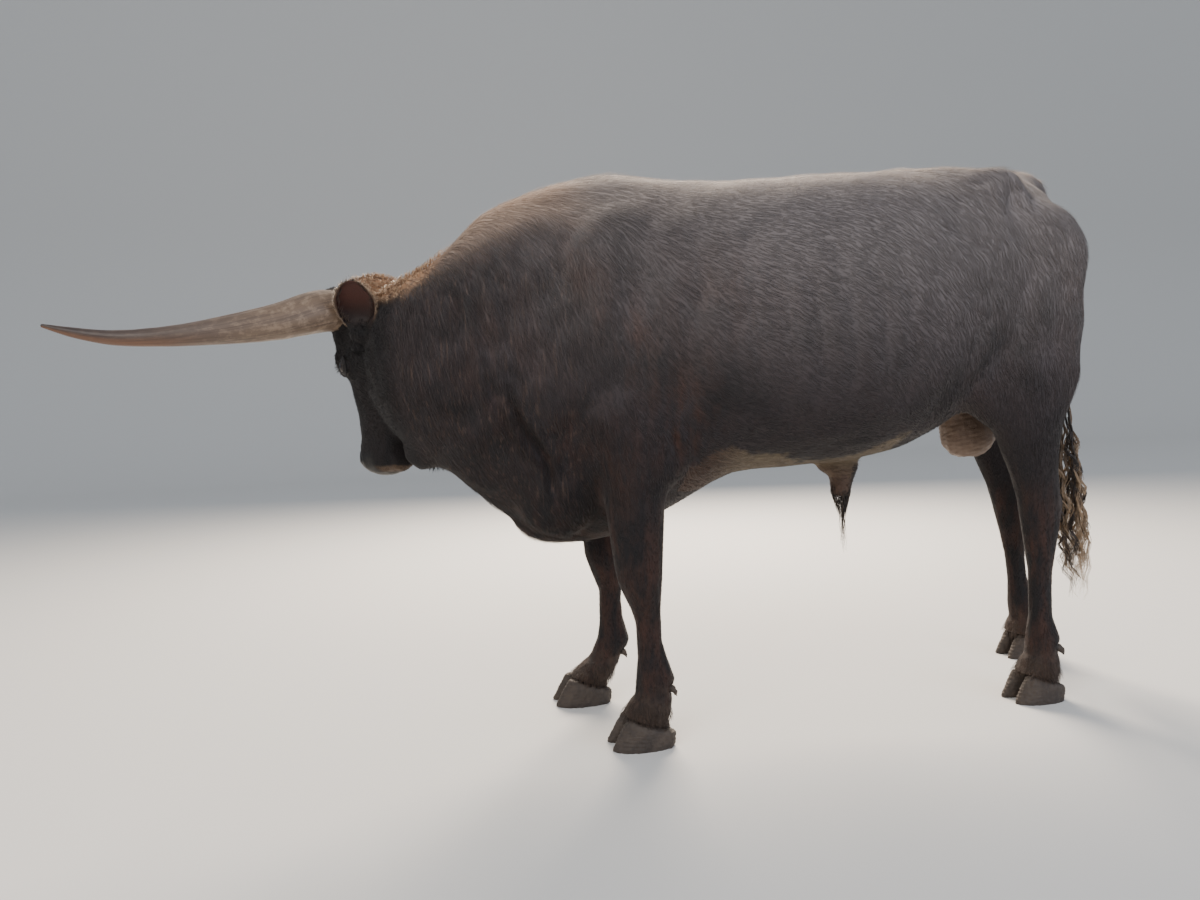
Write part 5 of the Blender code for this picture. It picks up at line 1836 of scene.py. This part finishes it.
@dataclass
class Horns:
    """The two long horns, swept along their own bent line with growth rings near the root."""

    line: tuple = (
        (0.045, 0.092, -0.040, 0.0500), (0.049, 0.150, -0.032, 0.0520), (0.080, 0.270, -0.012, 0.0430),
        (0.103, 0.390, 0.028, 0.0325), (0.119, 0.515, 0.085, 0.0215), (0.120, 0.600, 0.132, 0.0160),
        (0.106, 0.672, 0.174, 0.0095), (0.095, 0.710, 0.194, 0.0040),
    )
    sides: int = 56
    steps: int = 24
    ring_gap: float = 0.009
    ring_height: float = 0.0006
    lump: float = 0.0009
    flute: float = 0.00045
    highest: float = 0.0014
    # The rounded point: its rings' size as shares of the last ring, and how far out they lie, in its radii
    point: tuple = ((0.82, 0.55), (0.45, 0.9))

    def build(self, finish: Material) -> list[Object]:
        """Both horns, each in place of its node.

        Args:
            finish: The material.

        Returns:
            The pieces.
        """
        made = []
        for side in Side:
            rings, fields = self.sweep(side)
            mesh = ring_mesh(rings + np.array(SHIFT), fields)
            mesh.attributes.new("wrap", "FLOAT_VECTOR", "POINT").data.foreach_set(
                "vector", self.wrap.astype(np.float32).ravel())
            horn = dressed(f"horn_sheath_{side.word}", mesh, finish, "horn", f"horn_{side.word}")
            log.info("%s: %d faces", horn.name, len(mesh.polygons))
            made.append(horn)
        return made

    def sweep(self, side: Side) -> tuple[np.ndarray, dict[str, np.ndarray]]:
        """The rings of one horn.

        Args:
            side: Which horn.

        Returns:
            Rings of points, and how far along the horn each point is.
        """
        rows = smooth_rows(self.line, self.steps)
        rows[:, 1] *= side.value
        centre, radius = from_head(rows[:, :3]), rows[:, 3]
        tangent = unit(np.gradient(centre, axis=0))
        run = np.concatenate([[0.0], np.cumsum(np.linalg.norm(np.diff(centre, axis=0), axis=1))])
        start = unit(np.cross(tangent[0], (0, 0, 1.0)))
        across = np.empty_like(tangent)
        for i, t in enumerate(tangent):
            start = unit(start - t * (start @ t))
            across[i] = start
        up = np.cross(tangent, across)
        angle = 2 * math.pi * np.arange(self.sides) / self.sides
        spin = angle[None, :] + 1.1 * run[:, None]
        wrap = np.stack([
            0.05 * np.cos(spin), 0.05 * np.sin(spin),
            np.repeat(run[:, None], self.sides, 1) + 3.0 * (side.value < 0),
        ], -1)
        flat = wrap.reshape(-1, 3)
        wobble = ripple(flat, 0.05, 61).reshape(spin.shape)
        rings = np.sin(run[:, None] / self.ring_gap * 2 * math.pi + 2.2 * wobble)
        root = np.exp(-run / 0.07)[:, None]
        lumps = ripple(flat, 0.035, 62).reshape(spin.shape)
        flutes = ripple(flat * (1, 1, 0.06), 0.012, 63).reshape(spin.shape)
        rise = self.ring_height * root * rings + self.lump * lumps * (0.35 + root) + self.flute * flutes
        size = radius[:, None] + rise * (radius[:, None] / 0.05) ** 0.4
        size = np.minimum(size, radius[:, None] + self.highest)
        points = centre[:, None] + size[..., None] * (
            np.cos(angle)[None, :, None] * across[:, None] + np.sin(angle)[None, :, None] * up[:, None]
        )
        tips = []
        for size_share, out in self.point:
            tip = centre[-1] + tangent[-1] * radius[-1] * out
            tips.append(tip + (points[-1] - centre[-1]) * size_share)
        rings_all = np.concatenate([points, np.array(tips)])
        self.wrap = np.concatenate([wrap, wrap[-1:], wrap[-1:]])
        along = np.repeat((run / run[-1])[:, None], self.sides, 1)
        share = np.concatenate([along, np.ones((2, self.sides))])
        down = unit(rings_all - np.concatenate([centre, centre[-1:], centre[-1:]])[:, None])[..., 2]
        under = ramp(down, 0.1, -0.7) * ramp(share, 0.45, 0.75) * 0.75
        return rings_all, {"along": share, "under": under}


@dataclass(frozen=True)
class HoofFinish:
    """Hoof horn: dry layered keratin, cracked down its wall and caked with pale dust."""

    wall: str = "1D1815"
    worn: str = "332A24"
    dust: str = "3E342C"
    name: str = "dry hoof"

    def make(self) -> Material:
        """Builds the claws' material.

        Returns:
            The material.
        """
        material, tree, shader = blank_material(self.name)
        place = add(tree, "ShaderNodeTexCoord").outputs["Object"]
        # Growth lines 3 mm apart round the wall, and cracks 1 mm wide down it
        lines = add(tree, "ShaderNodeTexNoise", {
            "Vector": add(tree, "ShaderNodeMapping", {"Vector": place, "Scale": (0.12, 0.12, 1.0)}),
            "Scale": 330.0, "Detail": 3.0,
        })
        cracks = add(tree, "ShaderNodeTexNoise", {
            "Vector": add(tree, "ShaderNodeMapping", {"Vector": place, "Scale": (1.0, 1.0, 0.16)}),
            "Scale": 170.0, "Detail": 5.0, "Roughness": 0.7,
        })
        clouds = add(tree, "ShaderNodeTexNoise",
            {"Vector": place, "Scale": 34.0, "Detail": 6.0, "Roughness": 0.7})
        body = add(tree, "ShaderNodeMix", {0: lines.outputs[0], 6: hex_colour(self.wall),
            7: hex_colour(self.worn)},
                   data_type="RGBA")
        cover = add(tree, "ShaderNodeMapRange", {0: clouds.outputs[0], 1: 0.38, 2: 0.62, 3: 0.15, 4: 0.9})
        colour = add(tree, "ShaderNodeMix", {0: cover, 6: body.outputs[2], 7: hex_colour(self.dust)},
            data_type="RGBA")
        height = add(tree, "ShaderNodeMath", {0: lines.outputs[0], 1: cracks.outputs[0]}, operation="ADD")
        bump = add(tree, "ShaderNodeBump", {"Height": height, "Strength": 0.6, "Distance": 0.0016})
        tree.links.new(colour.outputs[2], shader.inputs["Base Color"])
        tree.links.new(bump.outputs[0], shader.inputs["Normal"])
        shader.inputs["Roughness"].default_value = 0.72
        return material


@dataclass
class Hooves:
    """The sixteen claws and dewclaws, each with its growth rings, chips and a worn edge."""

    voxel: float = 0.0032
    dew_voxel: float = 0.0022
    dew_size: float = 0.80
    dew_ahead: float = -0.004
    chip: float = 0.0007
    flute: float = 0.0004
    sink: float = 0.0005
    smoothing: int = 12
    top_rounds: int = 34
    ring_gap: float = 0.0085
    ring_height: float = 0.0007

    def build(self, finish: Material) -> list[Object]:
        """All claws, each in place of its node.

        Args:
            finish: The material.

        Returns:
            The pieces.
        """
        made = []
        for name in sorted(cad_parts):
            if "claw" not in name:
                continue
            small = "dewclaw" in name
            rough = bpy.data.objects.new(name, node_copy((name,)))
            bpy.context.scene.collection.objects.link(rough)
            even = rough.modifiers.new("even", "REMESH")
            even.mode = "VOXEL"
            even.voxel_size = self.dew_voxel if small else self.voxel
            mesh = evaluated_mesh(rough)
            self.wear(mesh, small)
            made.append(dressed(f"horny_{name}", mesh, finish, "hoof", name))
        log.info("hooves: %d pieces", len(made))
        return made

    def wear(self, mesh: Mesh, small: bool) -> None:
        """Smooths a claw and gives it growth rings and chips, leaving its sole flat.

        Args:
            mesh: The mesh.
            small: Whether it is a dewclaw.
        """
        co = read_points(mesh)
        net = Net(mesh)
        sole = co[:, 2].min()
        free = ramp(co[:, 2], sole + 0.0005, sole + 0.004)[:, None]
        net.relax(co, 0.5 * free[:, 0], self.smoothing)
        if small:
            middle = co.mean(0)
            co = middle + (co - middle) * self.dew_size + (self.dew_ahead, 0.0, 0.0)
        else:
            net.relax(co, 0.5 * ramp(co[:, 2], 0.040, 0.066), self.top_rounds)
        write_points(mesh, co)
        normals = read_normals(mesh)
        wave = np.sin(co[:, 2] / self.ring_gap * 2 * math.pi + 1.6 * ripple(co, 0.04, 71))
        rise = (0.5 if small else 1.0) * self.ring_height * wave + self.chip * ripple(co, 0.013, 72)
        rise += self.flute * ripple(co * (1, 1, 0.2), 0.006, 73) - self.sink
        write_points(mesh, co + normals * rise[:, None] * free)


@dataclass(frozen=True)
class EyeFinish:
    """A wet eye: near-black brown iris with a wide level pupil, under a clear tear film."""

    iris: str = "22140E"
    edge: str = "0E0907"
    white: str = "2E211B"
    name: str = "wet eye"

    def make(self) -> Material:
        """Builds the eyes' material.

        Returns:
            The material.
        """
        material, tree, shader = blank_material(self.name)
        seen = add(tree, "ShaderNodeAttribute", attribute_name="gaze").outputs["Vector"]
        apart = add(tree, "ShaderNodeSeparateXYZ", {0: seen}).outputs
        wide = add(tree, "ShaderNodeMath", {0: apart[0], 1: 0.55}, operation="MULTIPLY")
        oval = add(tree, "ShaderNodeCombineXYZ", {0: wide, 1: apart[1]})
        pupil = add(tree, "ShaderNodeVectorMath", {0: oval}, operation="LENGTH").outputs["Value"]
        round_ = add(tree, "ShaderNodeVectorMath", {
            0: add(tree, "ShaderNodeCombineXYZ", {0: apart[0], 1: apart[1]}),
        }, operation="LENGTH").outputs["Value"]
        rays = add(tree, "ShaderNodeTexNoise", {"Vector": seen, "Scale": 9.0, "Detail": 4.0})
        base = add(tree, "ShaderNodeValToRGB", {0: round_}, stops=(
            (0.0, self.iris), (0.60, self.iris), (0.72, self.edge), (0.80, self.edge), (0.90, self.white),
        ))
        ray = add(tree, "ShaderNodeMix", {0: rays.outputs[0], 6: base.outputs[0], 7: hex_colour(self.edge)},
                  data_type="RGBA")
        hole = add(tree, "ShaderNodeMapRange", {0: pupil, 1: 0.20, 2: 0.24, 3: 1.0, 4: 0.0})
        final = add(tree, "ShaderNodeMix", {0: hole, 6: ray.outputs[2], 7: (0.002, 0.002, 0.003, 1.0)},
                    data_type="RGBA")
        tree.links.new(final.outputs[2], shader.inputs["Base Color"])
        shader.inputs["Roughness"].default_value = 0.30
        shader.inputs["IOR"].default_value = 1.34
        shader.inputs["Specular IOR Level"].default_value = 0.2
        shader.inputs["Coat Weight"].default_value = 0.55
        shader.inputs["Coat Roughness"].default_value = 0.02
        return material


@dataclass
class Eyes:
    """Both eyeballs, each a sphere with a bulging clear front."""

    radius: float = EYE_RADIUS
    bulge: float = 0.0012
    rings: int = 40

    def build(self, finish: Material) -> list[Object]:
        """Both eyes, each in place of its node.

        Args:
            finish: The material.

        Returns:
            The pieces.
        """
        made = []
        for side in Side:
            ball = bmesh.new()
            bmesh.ops.create_uvsphere(ball, u_segments=2 * self.rings, v_segments=self.rings,
                radius=self.radius)
            mesh = bpy.data.meshes.new("eye")
            ball.to_mesh(mesh)
            ball.free()
            local = read_points(mesh)
            height = local[:, 2] / self.radius
            write_field(mesh, "gaze", local / self.radius / np.where(height > 0, 1.0, 0.3)[:, None],
                        "FLOAT_VECTOR")
            local *= (1 + self.bulge / self.radius * ramp(height, 0.70, 0.90))[:, None]
            write_points(mesh, local)
            gaze = head_matrix().to_3x3() @ Vector((0.10, side.value, 0.25))
            centre = head_matrix() @ Vector((EYE_AT.x, EYE_AT.y * side.value, EYE_AT.z)) + SHIFT
            mesh.transform(Matrix.Translation(centre) @ gaze.to_track_quat("Z", "Y").to_matrix().to_4x4())
            made.append(dressed(f"eyeball_{side.word}", mesh, finish, "eye", f"eye_{side.word}"))
        log.info("eyes: %d pieces", len(made))
        return made


@dataclass
class LockBundle:
    """Long wavy locks as thin three-sided strands, joined into one mesh."""

    points: list = field(default_factory=list)
    faces: list = field(default_factory=list)
    along: list = field(default_factory=list)
    chance: list = field(default_factory=list)
    roots: list = field(default_factory=list)
    sides: int = 3
    rings: int = 0

    def strand(self, path: np.ndarray, radius: float, flat: float, chance: float) -> None:
        """Adds one strand that tapers to its tip.

        Args:
            path: Its centre line.
            radius: Half its width in the middle.
            flat: Its thickness as a share of its width.
            chance: A number from 0 to 1 that tints it.
        """
        count = len(path)
        t = np.linspace(0, 1, count)
        tangent = unit(np.gradient(path, axis=0))
        side = unit(np.cross(tangent, (0.3, 0.5, 0.81)))
        up = np.cross(tangent, side)
        size = radius * (0.75 + 0.25 * np.sin(math.pi * np.minimum(t * 1.5, 1))) * (1 - t**2.2) + 0.00012
        angle = 2 * math.pi * np.arange(self.sides) / self.sides
        rings = path[:, None] + size[:, None, None] * (
            np.cos(angle)[None, :, None] * side[:, None] + flat * np.sin(angle)[None, :, None] * up[:, None]
        )
        start = self.sides * self.rings
        self.rings += count
        self.points.append(rings.reshape(-1, 3))
        for k in range(count - 1):
            low = start + k * self.sides
            for i in range(self.sides):
                j = (i + 1) % self.sides
                self.faces.append((low + i, low + j, low + self.sides + j, low + self.sides + i))
        self.faces.append(tuple(range(start, start + self.sides))[::-1])
        self.faces.append(tuple(range(start + (count - 1) * self.sides, start + count * self.sides)))
        self.along.append(np.repeat(t, self.sides))
        self.chance.append(np.full(count * self.sides, chance))
        self.roots.append(np.full(count * self.sides, len(self.roots)))

    def place(
        self, name: str, finish: Material, slot: str, node: str = "", skin: Mesh | None = None
    ) -> Object:
        """Puts the strands in the scene as one piece.

        Args:
            name: The piece's name.
            finish: Its material.
            slot: The name of a slot, passed on to dressed.
            node: The node that it takes the place of, if any.
            skin: The unwrapped skin that it grows from, if any.

        Returns:
            The piece.
        """
        piece = dressed(name, self.mesh(skin), finish, slot, *([node] if node else []))
        log.info("%s: %d strands", name, len(self.roots))
        return piece

    def spots(self, skin: Mesh | None, patch: float) -> np.ndarray:
        """Where each strand's patch lies: where its root is on the skin's unwrap, or in a grid.

        Args:
            skin: The skin.
            patch: How large a patch is.

        Returns:
            Rows of u and v.
        """
        count = len(self.roots)
        if skin is None:
            columns = math.ceil(math.sqrt(count))
            number = np.arange(count)
            return (np.stack([number % columns, number // columns], -1) + 0.5) * max(1.0 / columns, patch)
        own = read_points(skin)
        tree = KDTree(len(own))
        for i, place in enumerate(own):
            tree.insert(place, i)
        tree.balance()
        at = np.empty((len(own), 2))
        corners = read_all(skin.loops, "vertex_index", whole=True)
        at[corners] = read_all(skin.uv_layers["OFBake"].data, "uv", 2)
        return at[[tree.find(Vector(path[0]) + SHIFT)[1] for path in self.points]]

    def mesh(self, skin: Mesh | None, patch: float = 0.003) -> Mesh:
        """All strands as one mesh in the model's place, each with its own patch of the unwrap.

        Args:
            skin: The skin.
            patch: How large a patch is.

        Returns:
            The mesh.
        """
        mesh = bpy.data.meshes.new("locks")
        mesh.from_pydata((np.concatenate(self.points) + np.array(SHIFT)).tolist(), [], self.faces)
        along, chance = np.concatenate(self.along), np.concatenate(self.chance)
        root = np.concatenate(self.roots)
        write_field(mesh, "along", along)
        write_field(mesh, "chance", chance)
        corners = read_all(mesh.loops, "vertex_index", whole=True)
        offset = np.stack([(corners % self.sides - 1) * 0.45, along[corners] - 0.5], -1) * patch
        unwrap = self.spots(skin, patch)[root[corners]] + offset
        mesh.uv_layers.new(name="OFBake")
        mesh.uv_layers["OFBake"].data.foreach_set("uv", unwrap.astype(np.float32).ravel())
        return mesh


@dataclass(frozen=True)
class LockFinish:
    """Long coarse hair: dark at the root, some strands bleached tan to their tips."""

    dark: str = "1C1512"
    tan: str = "8C7153"
    name: str = "coarse dark hair"
    tan_from: float = 0.42

    def make(self) -> Material:
        """Builds the material of long hair.

        Returns:
            The material.
        """
        material, tree, shader = blank_material(self.name)
        along = add(tree, "ShaderNodeAttribute", attribute_name="along").outputs["Fac"]
        chance = add(tree, "ShaderNodeAttribute", attribute_name="chance").outputs["Fac"]
        some = add(tree, "ShaderNodeMapRange", {0: chance, 1: self.tan_from, 2: self.tan_from + 0.25})
        tips = add(tree, "ShaderNodeMapRange", {0: along, 1: 0.1, 2: 0.9, 3: 0.25, 4: 1.0})
        share = add(tree, "ShaderNodeMath", {0: some, 1: tips}, operation="MULTIPLY")
        colour = add(tree, "ShaderNodeMix", {0: share, 6: hex_colour(self.dark), 7: hex_colour(self.tan)},
            data_type="RGBA")
        tree.links.new(colour.outputs[2], shader.inputs["Base Color"])
        shader.inputs["Roughness"].default_value = 0.42
        shader.inputs["Specular IOR Level"].default_value = 0.4
        return material


@dataclass
class TailSwitch:
    """The switch at the end of the tail: curly locks of fine strands that part and cross."""

    locks: int = 44
    strands: int = 12
    top: float = 0.800
    tip: float = 0.245
    core: tuple = ((0.245, 1.440), (0.52, 1.416), (0.60, 1.408), (0.70, 1.403), (0.79, 1.397))
    # How far the tail hangs to the animal's left, and the turn from one lock's root to the next
    aside: float = -0.021
    golden_turn: float = 2.399963
    seed: int = 11

    def build(self, finish: Material) -> Object:
        """The switch in place of its node.

        Args:
            finish: The material.

        Returns:
            The piece.
        """
        rng = np.random.default_rng(self.seed)
        bundle = LockBundle()
        heights, middles = np.array(self.core).T
        for k in range(self.locks):
            share = (k + 0.5) / self.locks
            angle = self.golden_turn * k + rng.uniform(-0.3, 0.3)
            start = self.top - (self.top - 0.48) * share**1.2
            end = self.tip + rng.uniform(0.0, 0.30) * (1 - share) + 0.02 * rng.normal()
            end = min(end, start - 0.12)
            steps = max(9, int((start - end) / 0.022))
            phase, wave = rng.uniform(0, 6.3, 2), rng.uniform(0.070, 0.110)
            curl, reach = rng.uniform(0.007, 0.015), rng.uniform(0.010, 0.030)
            tint = rng.uniform(0, 1)
            for _ in range(self.strands):
                t = np.linspace(0, 1, steps)
                z = start + (end + rng.uniform(-0.015, 0.05) - start) * t
                middle = np.interp(z, heights, middles)
                a = angle + 0.5 * t * math.sin(k * 2.1)
                spread = 0.016 + reach * np.sin(math.pi * np.minimum(1.0, t * 0.9)) - 0.010 * t
                turn = 2 * math.pi * (start - z) / wave
                rise = np.minimum(1, t * 3)
                loose = rng.normal(0, 0.0022, 2) * (0.5 + 1.5 * t[:, None])
                slip = rng.normal(0, 0.22)
                path = np.stack([
                    middle + np.cos(a) * spread + curl * rise * np.sin(turn + phase[0] + slip) + loose[:, 0],
                    self.aside + np.sin(a) * spread + 0.8 * curl * rise * np.cos(turn + phase[1] + slip)
                    + loose[:, 1],
                    z,
                ], -1)
                bundle.strand(path, rng.uniform(0.0008, 0.0014), 0.6,
                    np.clip(tint + rng.normal(0, 0.08), 0, 1))
        return bundle.place("tail_switch_hair", finish, "switch hair", "tail_switch")


@dataclass
class LongHair:
    """The longer hair: curls of the poll, ear fringes, lashes and the sheath's tassel."""

    skin: Mesh
    curls: int = 1900
    fringe: int = 820
    # Height, middle, half depth and half width of the sheath
    sheath_rings: tuple = (
        (0.500, 0.706, 0.010, 0.010), (0.562, 0.703, 0.021, 0.019), (0.620, 0.702, 0.030, 0.026),
        (0.680, 0.700, 0.046, 0.036), (0.735, 0.690, 0.062, 0.046),
    )
    lashes: int = 60
    tassel: int = 260
    seed: int = 23

    def build(self, tan: Material, fringe: Material, black: Material) -> None:
        """Makes all of it.

        Args:
            tan: The finish of the poll.
            fringe: The finish of the ears' edges.
            black: The finish of lashes and tassel.
        """
        self.poll().place("poll_curls", tan, "short coat", skin=self.skin)
        self.ear_fringes().place("ear_fringes", fringe, "short coat", skin=self.skin)
        self.eyelashes().place("eyelashes", black, "switch hair", skin=self.skin)
        self.sheath_tassel().place("sheath_tassel", black, "switch hair", skin=self.skin)

    def poll(self) -> LockBundle:
        """Small curls over the crown and the nape.

        Returns:
            The strands.
        """
        rng = np.random.default_rng(self.seed)
        bundle = LockBundle()
        own, normals = read_points(self.skin) - np.array(SHIFT), read_normals(self.skin)
        cap = read_all(self.skin.attributes["cap"].data, "value")
        lie = read_all(self.skin.attributes["lie"].data, "vector", 3)
        for i in rng.choice(len(own), self.curls, p=cap / cap.sum()):
            t = np.linspace(0, 1, 7)[:, None]
            size, coil = rng.uniform(0.014, 0.026), rng.uniform(0.0020, 0.0040)
            side = np.cross(normals[i], lie[i])
            turn = rng.uniform(0, 6.3) + t * rng.uniform(5, 9)
            way = lie[i] * rng.uniform(0.5, 1.0) + side * rng.normal(0, 0.3)
            path = own[i] + normals[i] * size * 0.50 * np.sin(t * 2.2) + way * size * t
            path = path + coil * t * (np.cos(turn) * side + np.sin(turn) * normals[i])
            bundle.strand(path, rng.uniform(0.0007, 0.0012), 0.7, rng.uniform(0, 1))
        return bundle

    def ear_fringes(self) -> LockBundle:
        """Fine hair round the rims of both ears, and some inside them near the root.

        Returns:
            The strands.
        """
        rng = np.random.default_rng(self.seed + 1)
        bundle = LockBundle()
        rows = np.array(EarShells().rows)
        for ear in EARS:
            across = np.cross(ear.axis, ear.opening)
            for _ in range(self.fringe):
                sign, along = rng.choice((-1, 1)), rng.uniform(0.030, 0.154)
                width = np.interp(along, rows[:, 0], rows[:, 1])
                inner = rng.uniform() < 0.35
                root = ear.root + ear.axis * along + ear.opening * 0.10 * along
                root = root + across * sign * (width - (rng.uniform(0.002, 0.010) if inner else 0.0015))
                if inner:
                    root = root - ear.opening * 0.004
                steep = np.interp(along, (0.03, 0.10, 0.154), (0.9, 0.8, 1.3))
                way = ear.axis * steep + across * sign * (-0.45 if inner else 0.5) + ear.opening * 0.35
                way = unit(way + rng.normal(0, 0.22, 3))
                size = rng.uniform(0.005, 0.012) * (1.6 if inner else 1.0)
                t = np.linspace(0, 1, 4)[:, None]
                bend = (ear.axis * 0.4 - ear.opening * 0.2) * size * t**2 * 0.5
                path = root + way * size * t + bend
                bundle.strand(from_head(path), rng.uniform(0.00025, 0.00045), 0.7, 0.05 if inner
                    else rng.uniform(0, 1))
        return bundle

    def eyelashes(self) -> LockBundle:
        """A row of dark lashes on each upper lid.

        Returns:
            The strands.
        """
        rng = np.random.default_rng(self.seed + 2)
        bundle = LockBundle()
        lids = Lids()
        for side in Side:
            middle, gaze, front, brow = lids.frame(side)
            for _ in range(self.lashes):
                turn = np.array(rng.uniform(0.14, 0.86) * math.pi)
                root = lids.place(side, turn, lids.opening(turn) + 0.03, np.array(0.0214))
                way = unit(unit(root - middle) + brow * 0.5 + front * 0.5 * math.cos(turn)
                           + rng.normal(0, 0.08, 3))
                t, size = np.linspace(0, 1, 5)[:, None], rng.uniform(0.007, 0.012)
                path = root + way * size * t + (gaze * 0.3 - brow * 0.45) * size * t**2
                bundle.strand(from_head(path), 0.0003, 0.8, 0.1)
        return bundle

    def sheath_tassel(self) -> LockBundle:
        """Dark strands that hang from the sheath, and a darker edge down its rear.

        Returns:
            The strands.
        """
        rng = np.random.default_rng(self.seed + 3)
        bundle = LockBundle()
        rings = np.array(self.sheath_rings)
        for k in range(self.tassel):
            rear, wisp = k % 2 == 0, k % 7 == 0
            angle = rng.normal(0, 0.45) if rear else rng.uniform(0, 2 * math.pi)
            top = rng.uniform(0.590, 0.700) if rear else rng.uniform(0.560, 0.605)
            low = rng.uniform(0.400, 0.480) if wisp else rng.uniform(0.505, 0.560)
            t = np.linspace(0, 1, 14)
            z = top + (low - top) * t
            middle, deep, wide = (np.interp(z, rings[:, 0], rings[:, i]) for i in (1, 2, 3))
            close = 1 - (0.45 + 0.1 * (k % 4)) * ramp(z, 0.580, 0.500)
            x = middle + np.cos(angle) * (deep + 0.0015) * close + 0.006 * np.sin(t * 7
                + rng.uniform(0, 6)) * t
            y = np.sin(angle) * (wide + 0.001) * close + 0.003 * np.sin(t * 6 + rng.uniform(0, 6)) * t
            bundle.strand(np.stack([x, y, z], -1), rng.uniform(0.0006, 0.0011), 0.6, rng.uniform(0, 0.55))
        return bundle


@dataclass
class Studio:
    """The pale floor, the soft lights and the camera of the photograph."""

    eye: tuple = (-0.4358, -2.3442, 0.8539)
    yaw: float = -0.1926
    pitch: float = -0.0525
    roll: float = -0.0412
    lens: float = 27.06

    def build(self) -> None:
        """Sets up floor, world, lights and camera."""
        self.floor()
        self.camera()
        world = bpy.data.worlds.new("pale studio")
        bpy.context.scene.world = world
        world.use_nodes = True
        world.node_tree.nodes["Background"].inputs[0].default_value = hex_colour("D8DFE9")
        world.node_tree.nodes["Background"].inputs[1].default_value = 0.90
        # name, place, aim, size, watts, colour
        for name, place, aim, size, watts, code in (
            ("key", (-2.6, -3.6, 3.4), (0.1, 0.0, 0.8), 3.2, 180, "FFF8F0"),
            ("fill", (2.8, -3.8, 1.8), (0.4, 0.0, 0.8), 3.0, 90, "E2EBFF"),
            ("back", (1.2, 3.6, 3.6), (0.2, 0.0, 1.1), 2.4, 820, "FFEEDA"),
        ):
            light = bpy.data.lights.new(name, "AREA")
            light.size, light.energy = size, watts
            light.color = hex_colour(code)[:3]
            lamp = bpy.data.objects.new(name, light)
            lamp.location = place
            lamp.rotation_mode = "QUATERNION"
            lamp.rotation_quaternion = (Vector(place) - Vector(aim)).to_track_quat("Z", "Y")
            bpy.context.scene.collection.objects.link(lamp)

    def floor(self) -> None:
        """A wide floor that curves up into a backdrop far behind."""
        profile = [(-14.0, 0.0), (9.0, 0.0)]
        profile += [(9.0 + 4.0 * math.sin(a), 4.0 - 4.0 * math.cos(a))
                    for a in np.linspace(0.1, math.pi / 2, 12)]
        profile.append((13.0, 12.0))
        places = [(x, y, z) for x in (-24.0, 24.0) for y, z in profile]
        count = len(profile)
        faces = [(i, i + 1, count + i + 1, count + i)[::-1] for i in range(count - 1)]
        mesh = bpy.data.meshes.new("floor")
        mesh.from_pydata(places, [], faces)
        material, tree, shader = blank_material("matt studio floor")
        shader.inputs["Base Color"].default_value = hex_colour("C9C8C5")
        shader.inputs["Roughness"].default_value = 0.9
        put_in_scene("studio_floor", mesh, material)

    def camera(self) -> None:
        """The camera, placed and turned as in the photograph."""
        cy, sy = math.cos(self.yaw), math.sin(self.yaw)
        ahead = Vector((-sy * math.cos(self.pitch), cy * math.cos(self.pitch), math.sin(self.pitch)))
        level = Vector((cy, sy, 0.0))
        over = level.cross(ahead)
        right = level * math.cos(self.roll) + over * math.sin(self.roll)
        up = -level * math.sin(self.roll) + over * math.cos(self.roll)
        data = bpy.data.cameras.new("photo view")
        data.lens, data.sensor_width = self.lens, 36.0
        data.clip_start, data.clip_end = 0.05, 200.0
        camera = bpy.data.objects.new("photo view", data)
        turn = Matrix((right, up, -ahead)).transposed().to_4x4()
        camera.matrix_world = Matrix.Translation(Vector(self.eye) + SHIFT) @ turn
        bpy.context.scene.collection.objects.link(camera)
        bpy.context.scene.camera = camera


def main() -> None:
    """Builds the bull piece by piece and writes how large it is."""
    logging.basicConfig(level=logging.INFO, format="%(name)s: %(message)s")
    Studio().build()
    hide = Hide()
    hide.build(HideFinish().make())
    Coat().build(hide.mesh, HairFinish().make())
    Horns().build(HornFinish().make())
    Hooves().build(HoofFinish().make())
    Eyes().build(EyeFinish().make())
    TailSwitch().build(LockFinish("2A211C", "A78C6E", "long tail hair", 0.22).make())
    poll_hair = LockFinish("7C614B", "CFB294", "curly poll hair", 0.10).make()
    ear_hair = LockFinish("3A2E27", "A08B76", "fine ear hair", 0.10).make()
    LongHair(hide.mesh).build(poll_hair, ear_hair, LockFinish().make())
    bpy.context.view_layer.update()


if __name__ == "__main__":
    main()
